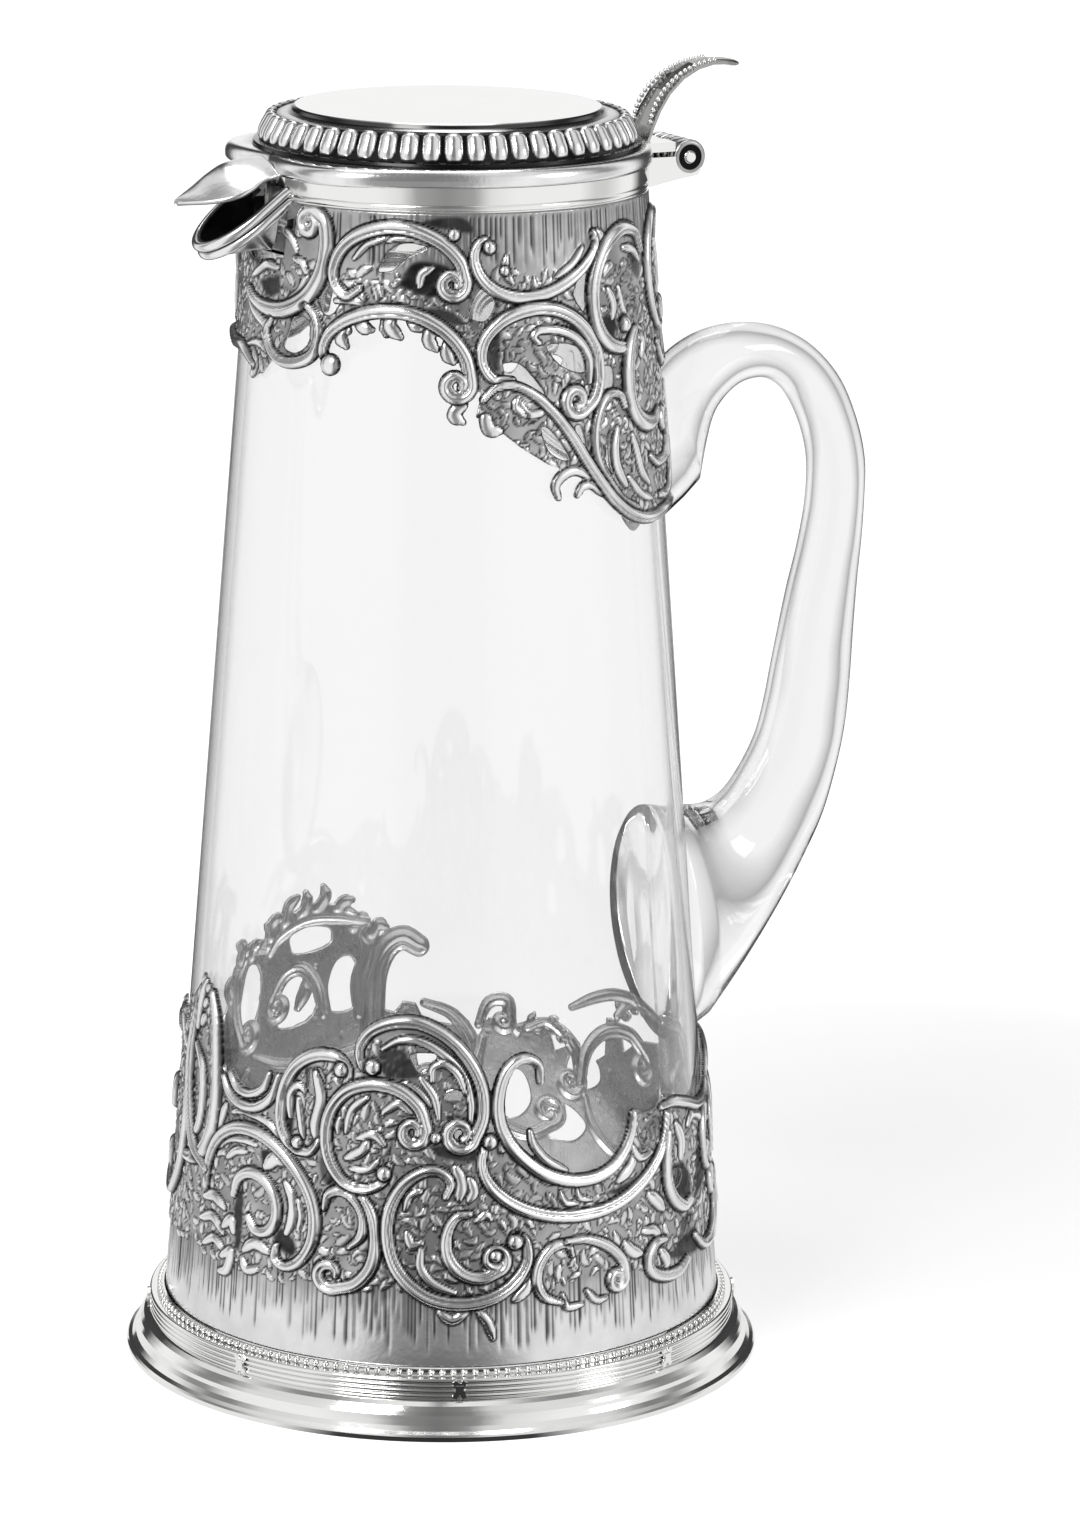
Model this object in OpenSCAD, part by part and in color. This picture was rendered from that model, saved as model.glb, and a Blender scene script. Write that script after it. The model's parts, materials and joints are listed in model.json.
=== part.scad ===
// Claret jug: tapering clear glass vessel with a worked glass handle, pierced silver mounts
// and a hinged lid. Millimetres, +Z up, origin at the centre of the foot's underside,
// handle towards +X, pouring lip towards -X.

/* [Glass body] */
// Diameter of the glass at its flat base
glass_foot_d = 120.4; // [114:0.2:124]
// Diameter of the glass at its rim
glass_mouth_d = 82.8; // [78:0.2:86]
// Height of the glass from base to rim
glass_h = 249; // [240:1:258]
// Height of the glass base above the table
glass_lift = 3; // [2.6:0.2:4]
// Wall thickness of the glass
glass_wall = 2.2; // [1.6:0.1:3]
// Thickness of the glass base
glass_base_t = 7; // [4:0.5:10]

/* [Glass handle] */
// Height of the lower pad's centre
pad_z = 88; // [84:1:92]
// Height of the lower pad
pad_h = 53; // [46:1:56]
// Width of the lower pad
pad_w = 34; // [28:1:38]
// Height of the upper root's centre
root_z = 191.5; // [188:0.5:194]
// Height of the upper root
root_h = 31; // [26:1:34]
// Width of the upper root
root_w = 18; // [14:1:20]

/* [Foot] */
// How far the foot spreads beyond the glass
foot_spread = 8.4; // [7:0.2:12]
// Height of the foot under the reeds
foot_h = 7.7; // [7:0.1:9]
// Height of the reeded moulding
reed_h = 4.3; // [3.6:0.1:5]
// Number of reeds
reed_count = 4; // [3:1:5]
// How far the reeds stand out from the glass
reed_out = 3.4; // [3:0.1:4.4]
// Number of ribbon ties round the reeds
tie_count = 8; // [4:1:12]
// Diameter of a bead in the bead row
bead_d = 1.4; // [1.2:0.05:1.6]
// Number of beads in the bead row
bead_count = 168; // [120:4:180]

/* [Scroll mounts] */
// Gap between glass and silver, filled by solder and plaster
seat_gap = 0.25; // [0.2:0.05:0.4]
// Thickness of the silver sheet
sheet_t = 0.6; // [0.5:0.05:0.9]
// Height of the raised scrolls over the sheet
relief = 1.3; // [0.8:0.1:1.6]

/* [Collar] */
// Height of the collar band, up to the lid's seat
band_h = 5; // [4:0.2:7]
// How far the band stands out from the glass rim
band_out = 0.7; // [0.6:0.1:1.4]
// How far the neck opening stays inside the glass rim
neck_step = 2.8; // [2.4:0.1:4]
// Depth of the band's inner tube below the band
neck_tube_h = 7; // [4:0.5:12]

/* [Pouring lip] */
// Reach of the lip's tip beyond the collar
lip_out = 15.1; // [12:0.1:17]
// Width of the lip
lip_w = 18; // [14:1:20]
// Slope of the lip's rim in degrees
lip_slope = 37; // [30:1:40]
// Diameter of each wire on the lip's rim
lip_wire_d = 2.1; // [1.6:0.1:2.4]

/* [Lid] */
// How far the flat top disc stays inside the collar
disc_inset = 9.7; // [9:0.1:13]
// Height of the lid above its seat
lid_h = 11.8; // [10.5:0.1:13]
// Thickness of the lid's sheet
lid_t = 0.9; // [0.7:0.1:1.2]
// Number of gadroon lobes
lobe_count = 52; // [44:1:54]
// Width of a gadroon lobe
lobe_w = 3.9; // [3.2:0.1:4]
// Reach of the flange's straight front beyond the collar
front_out = 5.3; // [3.6:0.1:6.8]
// Width of the flange's straight front, between its rounded corners
front_w = 24; // [20:1:28]
// Radius of the front's rounded corners
front_corner_r = 12; // [9:0.5:14]
// Thickness of the flange
flange_t = 3.7; // [3:0.1:4.2]
// Reach of the beak's tip beyond the collar
beak_out = 20.2; // [17:0.2:22]
// Width of the beak
beak_w = 20; // [16:0.5:22]
// Drop of the beak's tip under the lid's seat
beak_drop = 5; // [3:0.5:6]
// Depth of the bezel under the lid's seat
bezel_h = 3.6; // [2:0.2:5]
// Gap between the bezel and the neck opening
bezel_gap = 0.5; // [0.3:0.05:0.8]

/* [Hinge] */
// Distance of the hinge pin from the collar
hinge_out = 11.4; // [10:0.1:14]
// Outer diameter of the knuckles
knuckle_d = 4.8; // [4.2:0.2:5.4]
// Diameter of the pin
pin_d = 2; // [1.6:0.1:2.4]
// Gap between the pin and the lid's knuckles
pin_gap = 0.05; // [0.03:0.01:0.08]
// Width of the hinge over all knuckles
hinge_w = 15; // [12:0.5:18]
// Gap between neighbouring knuckles
knuckle_gap = 0.15; // [0.1:0.05:0.3]
// Opening angle shown, for trying the lid's travel
lid_open = 0; // [0:5:100]

/* [Thumbpiece] */
// Reach of the thumbpiece's tip beyond the hinge pin
thumb_out = 15; // [12:0.5:18]
// Height of the thumbpiece above the lid's flange
thumb_h = 14.4; // [12:0.2:17]
// Width of the thumbpiece at its root
thumb_w = 9; // [7:0.5:11]

/* [Hidden] */
$fn = 96;

silver = "#c9c9c6";
glass = [0.88, 0.93, 0.95, 0.45];
plaster = "#e8e4da";

eps = 0.01;
foot_r = glass_foot_d / 2;
foot_d = glass_foot_d + 2 * foot_spread;
mouth_r = glass_mouth_d / 2;
rim_z = glass_lift + glass_h;
taper = (foot_r - mouth_r) / glass_h;

// Radius of the outside of the glass at height z
function cone_r(z) = foot_r - taper * (z - glass_lift);

// Stack of the foot
ledge_t = 1.2;
ledge_z = glass_lift - 0.8;
reed_z = foot_h;
reed_top = reed_z + reed_h;
reed_d = reed_h / reed_count;
sleeve_z = reed_top + bead_d;

// Stack of the collar
band_z = rim_z + 1.3;
seat_z = band_z + band_h;
band_r = mouth_r + band_out;
neck_r = mouth_r - neck_step;
neck_tube_t = 0.4;

// Stack of the lid
flange_top = seat_z + flange_t;
lid_top = seat_z + lid_h;
disc_r = band_r - disc_inset;
front_reach = band_r + front_out;
beak_reach = band_r + beak_out;
step_h = 1.7;
step_w = 3.6;
seat_top_r = disc_r + step_w;
seat_top_z = lid_top - step_h;
seat_bot_r = band_r - 2.6;
seat_bot_z = flange_top + 1.2;
hinge_x = band_r + hinge_out;
hinge_z = seat_z - 1.2;
thumb_reach = hinge_x + thumb_out;

// Lip and notch
lip_reach = band_r + lip_out;
notch_w = lip_w - 1;
lip_root_z = band_z + 2.4;
notch_z = rim_z - 10;

// ---------------------------------------------------------------- general shapes

function unit(v) = v / norm(v);

// Solid tube swept along points p, with section sec [across, out] at each point's own
// scale k, where n gives the outward direction at each point
module sweep(p, n, sec, k) {
    count = len(p);
    m = len(sec);
    t = [for (i = [0 : count - 1]) unit(p[min(i + 1, count - 1)] - p[max(i - 1, 0)])];
    pts = [
        for (i = [0 : count - 1])
            let (side = unit(cross(n[i], t[i])), out = unit(cross(t[i], side)))
                for (q = sec) p[i] + (side * q[0] + out * q[1]) * k[i]
    ];
    skin = [
        for (i = [0 : count - 2], j = [0 : m - 1])
            let (a = i * m + j, b = i * m + (j + 1) % m)
                each [[a, b, b + m], [a, b + m, a + m]]
    ];
    cap_a = [[for (j = [m - 1 : -1 : 0]) j]];
    cap_b = [[for (j = [0 : m - 1]) (count - 1) * m + j]];
    polyhedron(pts, concat(skin, cap_a, cap_b), convexity = 6);
}

// Solid through closed rings of equal length, each end closed by rings shrinking to a point
module loft(rings) {
    m = len(rings[0]);
    count = len(rings);
    pts = [for (r = rings) each r];
    skin = [
        for (i = [0 : count - 2], j = [0 : m - 1])
            let (a = i * m + j, b = i * m + (j + 1) % m)
                each [[a, b + m, b], [a, a + m, b + m]]
    ];
    cap_a = [[for (j = [0 : m - 1]) j]];
    cap_b = [[for (j = [m - 1 : -1 : 0]) (count - 1) * m + j]];
    polyhedron(pts, concat(skin, cap_a, cap_b), convexity = 8);
}

// ---------------------------------------------------------------- drawing on the cone

// Point at arc length s from the spout (measured at radius ref), height z, h over the glass
function on_cone(s, z, h, ref) =
    let (a = s / ref * 180 / PI, r = cone_r(z) + h) [-r * cos(a), -r * sin(a), z];

function reversed(v) = [for (i = [len(v) - 1 : -1 : 0]) v[i]];

// Sheet wrapped on the cone between a lower and an upper edge, both given by functions of
// the place round the jug
module wrapped_band(low, high, columns) {
    ring = [for (i = [0 : columns - 1]) 360 * i / columns];
    corners = [
        for (i = [0 : columns - 1])
            let (a = ring[i], c = cos(a), s = sin(a), lo = low[i], hi = high[i])
                each [
                    for (q = [[0, lo], [1, lo], [1, hi], [0, hi]])
                        let (r = cone_r(q[1]) + seat_gap + q[0] * sheet_t)
                            [-r * c, -r * s, q[1]]
                ]
    ];
    faces = [
        for (i = [0 : columns - 1], j = [0 : 3])
            let (n = (i + 1) % columns, a = i * 4 + j, b = i * 4 + (j + 1) % 4,
                 d = n * 4 + j, e = n * 4 + (j + 1) % 4)
                each [[a, b, e], [a, e, d]]
    ];
    polyhedron(corners, faces, convexity = 10);
}

// Wedge through the sheet over a convex outline [s, z]
module piercing(outline, ref) {
    inner = [for (q = outline) on_cone(q[0], q[1], -3, ref)];
    outer = [for (q = outline) on_cone(q[0], q[1], 6, ref)];
    cloud(concat(inner, outer));
}

// Height of an edge given by points [s, z], read at place s by straight lines
function edge_z(pts, s) =
    let (i = max([for (k = [0 : len(pts) - 2]) if (pts[k][0] <= s) k]),
         f = (s - pts[i][0]) / (pts[i + 1][0] - pts[i][0]))
        pts[i][1] + f * (pts[i + 1][1] - pts[i][1]);

// ---------------------------------------------------------------- glass

module glass_body() {
    inner_r = function(z) cone_r(z) - glass_wall;
    color(glass)
        difference() {
            translate([0, 0, glass_lift])
                cylinder(h = glass_h, r1 = foot_r, r2 = mouth_r);
            translate([0, 0, glass_lift + glass_base_t])
                cylinder(h = glass_h, r1 = inner_r(glass_lift + glass_base_t),
                         r2 = inner_r(rim_z + glass_base_t));
            spout_notch(0);
        }
}

// Opening through rim, collar and skirt at the pouring lip
module spout_notch(gap) {
    translate([-mouth_r - 12, -notch_w / 2 - gap, notch_z - gap])
        cube([24, notch_w + 2 * gap, 40]);
}

// Room in the skirt for the lip's wire
module wire_notch() {
    half = lip_w / 2 + 1.6;
    translate([-mouth_r - 12, -half, lip_root_z - 7])
        cube([24, 2 * half, 20]);
}

// Handle stations: outer edge [x, z], inner edge [x, z], half of the width
handle_stations = [
    [[62.5, 65.5], [54.6, 114.3], 15.6], [[70.5, 74.5], [57.5, 113.8], 13],
    [[77.5, 83.5], [61, 113.3], 11], [[83, 91.5], [65, 113.7], 9.6],
    [[88.2, 100.3], [69.4, 116.3], 8.7], [[92.5, 108.8], [73.5, 121.8], 8],
    [[95.8, 119.5], [76.7, 128], 7.6], [[97.8, 129], [78.6, 135], 7.3],
    [[98.8, 140], [80, 142], 7.1], [[99.3, 150], [81.7, 150], 7],
    [[100, 161], [83.8, 159.5], 6.8], [[100.9, 171], [86.2, 168.5], 6.6],
    [[101.3, 180], [88, 178], 6.5], [[101.2, 188], [88.3, 186.8], 6.4],
    [[99, 196.8], [87, 193.5], 6.4], [[94.6, 206.2], [84.4, 199.6], 6.4],
    [[88, 213.4], [81.2, 204.2], 6.4], [[80.5, 217.7], [77, 206.8], 6.5],
    [[73, 219.4], [73, 207.2], 6.6], [[66, 219.3], [69, 206.1], 6.8],
    [[59.5, 217.8], [65.4, 203.3], 7.2], [[54, 214.8], [62.8, 199.6], 7.7],
    [[50, 211], [61.2, 194], 8.2], [[48.2, 208.6], [59.6, 185.5], 8.6]
];
handle_sides = 16;

// Ring of the handle's pad or root lying on the glass, shrunk by k towards its centre
function glass_ring(mid_z, high, wide, k, up) = [
    for (j = [0 : handle_sides - 1])
        let (a = 360 * j / handle_sides,
             z = mid_z - up * cos(a) * high / 2 * k,
             y = sin(a) * wide / 2 * k)
            [sqrt(pow(cone_r(z), 2) - y * y) + eps, y, z]
];

function handle_ring(st) = [
    for (j = [0 : handle_sides - 1])
        let (a = 360 * j / handle_sides, mid = (st[0] + st[1]) / 2, half = (st[0] - st[1]) / 2,
             q = mid + half * cos(a))
            [q[0], sin(a) * st[2], q[1]]
];

module glass_handle() {
    shrink = [0.25, 0.55, 0.8, 1];
    color(glass)
        loft(concat(
            [for (k = shrink) glass_ring(pad_z, pad_h, pad_w, k, 1)],
            [for (st = handle_stations) handle_ring(st)],
            [for (k = reversed(shrink)) glass_ring(root_z, root_h, root_w, k, -1)]
        ));
}

// ---------------------------------------------------------------- foot

module base_cement() {
    color(plaster)
        translate([0, 0, ledge_z])
            difference() {
                cylinder(h = glass_lift - ledge_z, r = foot_r - 1);
                translate([0, 0, -eps])
                    cylinder(h = 2, r = foot_r - 8);
            }
}

module foot_ring() {
    out = foot_d / 2;
    lip = out - foot_r;
    color(silver)
        rotate_extrude()
            polygon([
                [foot_r - 8, ledge_z - ledge_t], [foot_r - 8, ledge_z],
                [foot_r + seat_gap, ledge_z], [foot_r + seat_gap, foot_h],
                [foot_r + lip * 0.33, foot_h], [foot_r + lip * 0.45, foot_h - 0.5],
                [foot_r + lip * 0.56, foot_h - 1.2], [foot_r + lip * 0.64, foot_h - 2.1],
                [foot_r + lip * 0.7, foot_h - 2.9], [foot_r + lip * 0.72, foot_h - 3.8],
                [foot_r + lip * 0.77, foot_h - 4.9], [foot_r + lip * 0.86, foot_h - 5.8],
                [foot_r + lip * 0.96, foot_h - 6.3], [out, foot_h - 6.7], [out, 0],
                [out - 1.4, 0], [foot_r + lip * 0.55, foot_h - 5],
                [foot_r + lip * 0.4, ledge_z - ledge_t]
            ]);
}

reed_r = foot_r + reed_out - reed_d / 2;

module reed_band() {
    color(silver)
        rotate_extrude() {
            translate([foot_r + seat_gap, reed_z])
                square([reed_out - seat_gap - reed_d / 2, reed_h]);
            for (i = [0 : reed_count - 1])
                translate([reed_r, reed_z + reed_d * (i + 0.5)])
                    circle(d = reed_d);
        }
}

// Ribbon wound once over the reeds, as a pair of crossing straps
module reed_ties() {
    strap = 1.1;
    lean = 32;
    depth = 0.5;
    color(silver)
        for (i = [0 : tie_count - 1])
            rotate([0, 0, 360 * (i + 0.5) / tie_count])
                translate([foot_r + reed_out, 0, reed_z + reed_h / 2])
                    union() {
                        for (side = [-1, 1])
                            rotate([side * lean, 0, 0])
                                translate([0, -strap / 2, -reed_h / 2])
                                    cube([depth, strap, reed_h]);
                        translate([0, -strap * 0.8, -strap * 0.8])
                            cube([depth + 0.2, strap * 1.6, strap * 1.6]);
                    }
}

module base_beads() {
    wire_w = 0.75;
    wire_h = 1;
    color(silver)
        union() {
            rotate_extrude()
                translate([foot_r + seat_gap, reed_top + (bead_d - wire_h) / 2])
                    square([wire_w, wire_h]);
            for (i = [0 : bead_count - 1])
                rotate([0, 0, 360 * i / bead_count])
                    translate([foot_r + seat_gap + wire_w + 0.1, 0, reed_top + bead_d / 2])
                        sphere(d = bead_d - 2 * eps, $fn = 36);
        }
}

// ---------------------------------------------------------------- sleeve round the base

base_ref = 58;

// Upper edge of the sleeve round the jug, from the spout, s growing towards -Y
base_edge = [
    [-183, 60], [-174, 60], [-167, 61], [-160, 59], [-150, 54], [-144, 57], [-137, 58],
    [-130, 60], [-124, 56], [-118, 58], [-112, 61], [-105, 62], [-103, 78], [-98, 80],
    [-93, 86], [-86, 88], [-78, 88], [-72, 84], [-68, 80], [-60, 79], [-56, 72], [-50, 60],
    [-44, 59], [-40, 62], [-33, 73], [-26, 76], [-18, 72], [-10, 74], [-6, 80], [0, 86],
    [4, 84], [8, 71], [13, 65], [22, 64.4], [27, 71], [32, 77], [38, 78.5], [45, 78],
    [48, 84], [54, 87], [60, 87.5], [66, 85], [71, 79.5], [74.5, 72], [77, 76], [81, 79],
    [86, 78], [90, 62], [108, 60], [113, 62], [122, 62], [131, 60.5], [142, 58.5],
    [152, 60], [160, 61], [167, 61], [174, 60], [183, 60]
];

// Openings through the sleeve, each an outline [s, z]
base_openings = [
    [[79, 68], [82, 61.5], [86.5, 57], [92.5, 53.8], [99, 53.2], [104.5, 55.5], [108, 59.5],
     [109, 66], [100, 76], [86, 72]],
    [[57.5, 79], [60, 80], [63, 79.5], [61.5, 76.5], [59, 76.5]],
    [[65.5, 62], [69, 62.5], [70, 66.5], [67, 67], [65, 64.5]]
];
far_openings = [
    [[89.5, 60], [94, 60], [94.5, 66], [93, 72], [90, 71], [88.6, 66]],
    [[77, 75.4], [82, 74.6], [88, 75.8], [86.5, 78.6], [78, 78.6]],
    [[74, 60.5], [80, 60], [82, 66], [79.5, 68], [75.5, 65.5]],
    [[129.5, 36], [134, 35], [138, 39], [135, 43], [130.5, 42]]
];

module base_sleeve() {
    columns = 80;
    ref = base_ref;
    places = [
        for (i = [0 : columns - 1])
            let (a = 360 * i / columns) (a > 180 ? a - 360 : a) * PI / 180 * ref
    ];
    color(silver)
        union() {
            difference() {
                wrapped_band(
                    [for (s = places) sleeve_z],
                    [for (s = places) edge_z(base_edge, s)],
                    columns
                );
                for (o = base_openings)
                    piercing(o, ref);
                mirror([0, 1, 0])
                    for (o = far_openings)
                        piercing(o, ref);
            }
        }
}

// ---------------------------------------------------------------- skirt under the collar

skirt_ref = 44;
skirt_top = band_z;
// Height of the glass rim at which the skirt's tables are drawn
skirt_rim_z = 252;

// Lower edge of the skirt, from the spout round to the handle
skirt_edge = [
    [0, 217], [3, 217], [6, 220], [13, 219.8], [19, 221], [22, 220.5], [24, 228.5],
    [31, 232.5], [39, 233.4], [46.6, 230.8], [51, 226.6], [52.4, 218.4], [54, 212.5],
    [58, 211], [64, 206], [70, 202], [76, 199.5], [82, 194], [88, 190], [95, 187],
    [104, 186.2], [120, 185.6], [139, 185.6]
];

module collar_skirt() {
    columns = 72;
    ref = skirt_ref;
    places = [
        for (i = [0 : columns - 1])
            let (a = 360 * i / columns) (a > 180 ? 360 - a : a) * PI / 180 * ref
    ];
    color(silver)
        union() {
            difference() {
                wrapped_band(
                    [for (s = places) edge_z(skirt_edge, s) + rim_z - skirt_rim_z],
                    [for (s = places) skirt_top],
                    columns
                );
                spout_notch(0.3);
                wire_notch();
                handle_gap();
            }
        }
}

// Room in the skirt for the handle's upper root
module handle_gap() {
    gap = 0.6;
    hull()
        for (dz = [-root_h / 2 + root_w / 2, root_h / 2 - root_w / 2])
            translate([cone_r(root_z) - 8, 0, root_z + dz])
                rotate([0, 90, 0])
                    cylinder(h = 20, r = root_w / 2 + gap, $fn = 32);
}

// ---------------------------------------------------------------- collar

module collar_band() {
    bead = 1;
    color(silver)
        difference() {
            rotate_extrude() {
                translate([neck_r, band_z])
                    square([band_r - neck_r - 0.3, band_h]);
                translate([neck_r, band_z + 2 * bead])
                    square([band_r - neck_r, band_h - 2 * bead]);
                translate([band_r - bead * 0.85, band_z + bead * 0.9])
                    circle(r = bead * 0.85);
                translate([neck_r, rim_z - neck_tube_h])
                    square([neck_tube_t, neck_tube_h + 2]);
            }
            spout_notch(0);
        }
}

module neck_cement() {
    color(plaster)
        difference() {
            translate([0, 0, rim_z])
                cylinder(h = band_z - rim_z, r = mouth_r);
            translate([0, 0, rim_z - eps])
                cylinder(h = 3, r = mouth_r - glass_wall);
            spout_notch(0);
        }
}

// ---------------------------------------------------------------- pouring lip

lip_root = band_r;
lip_straight = 6;

// Point of the lip's rim at angle a from the tip, moved in by d, lowered by drop
function lip_point(a, d, drop) =
    let (half = lip_w / 2 - d, nose = lip_reach - lip_root - lip_straight + 1 - d,
         x = abs(a) > 90
             ? lip_root - 1 + lip_straight * (180 - abs(a)) / 90
             : lip_root - 1 + lip_straight + nose * cos(a),
         y = abs(a) > 90 ? sign(a) * half : half * sin(a))
        [-x, y, lip_root_z - (x - lip_root) * tan(lip_slope) - drop];

lip_angles = [for (a = [-180 : 15 : 180]) a];
lip_sheet = 0.9;
lip_depth = 4.6;

module spout_lip() {
    back = lip_wire_d * 0.4 + 0.4;
    rim = [for (a = lip_angles) lip_point(a, back, 0.4)];
    low = [for (a = lip_angles) lip_point(a, 3.5, lip_depth + 1.2)];
    rim_in = [for (a = lip_angles) lip_point(a, back + lip_sheet, -6)];
    mid_in = [for (a = lip_angles) lip_point(a, back + lip_sheet, lip_wire_d)];
    low_in = [for (a = lip_angles) lip_point(a, 3.5 + lip_sheet, lip_depth)];
    keel = [[-lip_root, -5, notch_z + 0.4], [-lip_root, 5, notch_z + 0.4],
            [-lip_root - 5, 0, notch_z + 0.8]];
    keel_in = [[-lip_root + 4, -4.4, notch_z + 1.6], [-lip_root + 4, 4.4, notch_z + 1.6],
               [-lip_root - 5, 0, notch_z + 2]];
    color(silver)
        difference() {
            hull()
                cloud(concat(rim, low, keel));
            hull()
                cloud(concat(rim_in, mid_in, low_in, keel_in));
            translate([0, 0, notch_z - 10])
                cylinder(h = 60, r = lip_root + eps);
        }
}

// Smallest convex solid round a set of points
module cloud(pts) {
    hull()
        polyhedron(pts, [for (i = [0 : len(pts) - 3]) [i, i + 1, i + 2]]);
}

// Double reed that binds the lip's rim: two round wires with a groove between
module spout_wire() {
    r = lip_wire_d / 2;
    section = [
        [-0.8, -0.4], [-0.4, 0], [0.5, 0], [0.95, -0.5], [1, -1.3], [0.45, -2], [1, -2.7],
        [0.95, -3.5], [0.5, -4], [-0.4, -4], [-0.8, -3.6]
    ];
    normal = [-sin(lip_slope), 0, cos(lip_slope)];
    p = [for (a = lip_angles) lip_point(a, 0, 0)];
    color(silver)
        difference() {
            sweep(p, [for (q = p) normal], [for (q = section) q * r], [for (q = p) 1]);
            translate([0, 0, notch_z - 10])
                cylinder(h = 60, r = lip_root + eps);
        }
}

// ---------------------------------------------------------------- hinge

knuckle_r = knuckle_d / 2;
knuckle_w = hinge_w / 5;
leaf_t = 2;

module hinge_bracket() {
    reach = hinge_x - band_r;
    color(silver)
        difference() {
            union() {
                for (i = [0, 2, 4])
                    translate([hinge_x, -hinge_w / 2 + knuckle_w * i + knuckle_gap / 2,
                               hinge_z])
                        rotate([-90, 0, 0])
                            cylinder(h = knuckle_w - knuckle_gap, r = knuckle_r);
                // tapering web under the knuckles, soldered to the band
                translate([0, hinge_w / 2 - knuckle_gap / 2, 0])
                    rotate([90, 0, 0])
                        linear_extrude(hinge_w - knuckle_gap)
                            polygon([
                                [band_r - 3, hinge_z + 0.3], [hinge_x, hinge_z + 0.3],
                                [hinge_x + knuckle_r - 0.1, hinge_z],
                                [hinge_x + knuckle_r + 0.3, hinge_z - knuckle_r],
                                [hinge_x + knuckle_r * 0.8, hinge_z - knuckle_r - 1.5],
                                [hinge_x - knuckle_r, hinge_z - knuckle_r - 2.1],
                                [band_r + reach * 0.2, band_z - 2],
                                [band_r - 3, band_z - 2.4]
                            ]);
            }
            // running room for the lid's knuckles
            for (i = [1, 3])
                translate([hinge_x, -hinge_w / 2 + knuckle_w * i - knuckle_gap / 2, hinge_z])
                    rotate([-90, 0, 0])
                        cylinder(h = knuckle_w + knuckle_gap, r = knuckle_r + 0.3);
            translate([hinge_x, -hinge_w, hinge_z])
                rotate([-90, 0, 0])
                    cylinder(h = 2 * hinge_w, r = pin_d / 2);
            translate([0, 0, band_z])
                cylinder(h = 20, r = band_r);
            translate([0, 0, band_z - 20])
                cylinder(h = 20, r = band_r + relief + sheet_t);
        }
}

module hinge_pin() {
    head_t = 0.5;
    head_r = pin_d / 2 + 0.35;
    color(silver)
        translate([hinge_x, -hinge_w / 2, hinge_z])
            rotate([-90, 0, 0])
                union() {
                    translate([0, 0, knuckle_gap / 2])
                        cylinder(h = hinge_w - knuckle_gap, r = pin_d / 2);
                    translate([0, 0, knuckle_gap / 2 - head_t])
                        cylinder(h = head_t, r1 = head_r - 0.3, r2 = head_r);
                    translate([0, 0, hinge_w - knuckle_gap / 2])
                        cylinder(h = head_t, r1 = head_r, r2 = head_r - 0.3);
                }
}

leaf_z = seat_z + 0.2;
leaf_top = leaf_z + leaf_t;

module lid_hinge_leaf() {
    color(silver)
        swung()
            difference() {
                union() {
                    for (i = [1, 3])
                        translate([hinge_x, -hinge_w / 2 + knuckle_w * i + knuckle_gap / 2,
                                   hinge_z])
                            rotate([-90, 0, 0])
                                cylinder(h = knuckle_w - knuckle_gap, r = knuckle_r);
                    for (i = [1, 3])
                        translate([0, -hinge_w / 2 + knuckle_w * (i + 1) - knuckle_gap / 2, 0])
                            rotate([90, 0, 0])
                                linear_extrude(knuckle_w - knuckle_gap)
                                    polygon([
                                        [band_r - 3, leaf_z], [hinge_x - 1, leaf_z],
                                        [hinge_x, hinge_z + knuckle_r - 0.1],
                                        [hinge_x - 3, leaf_top], [band_r - 3, leaf_top]
                                    ]);
                    translate([0, -hinge_w / 2 + knuckle_gap / 2, leaf_z])
                        cube([hinge_x - knuckle_r - 1.2, hinge_w - knuckle_gap, leaf_t]);
                }
                translate([hinge_x, -hinge_w, hinge_z])
                    rotate([-90, 0, 0])
                        cylinder(h = 2 * hinge_w, r = pin_d / 2 + pin_gap);
                translate([0, 0, seat_z - 10])
                    cylinder(h = 40, r = flange_r);
            }
}

// ---------------------------------------------------------------- lid

flange_r = band_r;

// Turns a piece of the lid about the hinge pin
module swung() {
    translate([hinge_x, 0, hinge_z])
        rotate([0, lid_open, 0])
            translate([-hinge_x, 0, -hinge_z])
                children();
}

module lid_cover() {
    color(silver)
        swung()
            rotate_extrude()
                polygon([
                    [0, lid_top - lid_t], [0, lid_top], [disc_r - 0.4, lid_top],
                    [disc_r, lid_top - 0.3], [disc_r + 0.3, lid_top - step_h * 0.55],
                    [disc_r + step_w * 0.35, lid_top - step_h * 0.85],
                    [seat_top_r - 0.4, seat_top_z], [seat_top_r, seat_top_z - 0.2],
                    [seat_bot_r, seat_bot_z], [seat_bot_r + 1.1, seat_bot_z - 0.2],
                    [seat_bot_r + 1.3, flange_top + 0.5], [seat_bot_r + 1.1, flange_top],
                    [seat_bot_r - lid_t, flange_top], [seat_bot_r - lid_t, seat_bot_z - 0.3],
                    [seat_top_r - lid_t - 0.5, seat_top_z - lid_t - 0.4],
                    [disc_r - lid_t - 0.2, seat_top_z - lid_t + 0.2],
                    [disc_r - lid_t - 0.5, lid_top - lid_t]
                ]);
}

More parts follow.
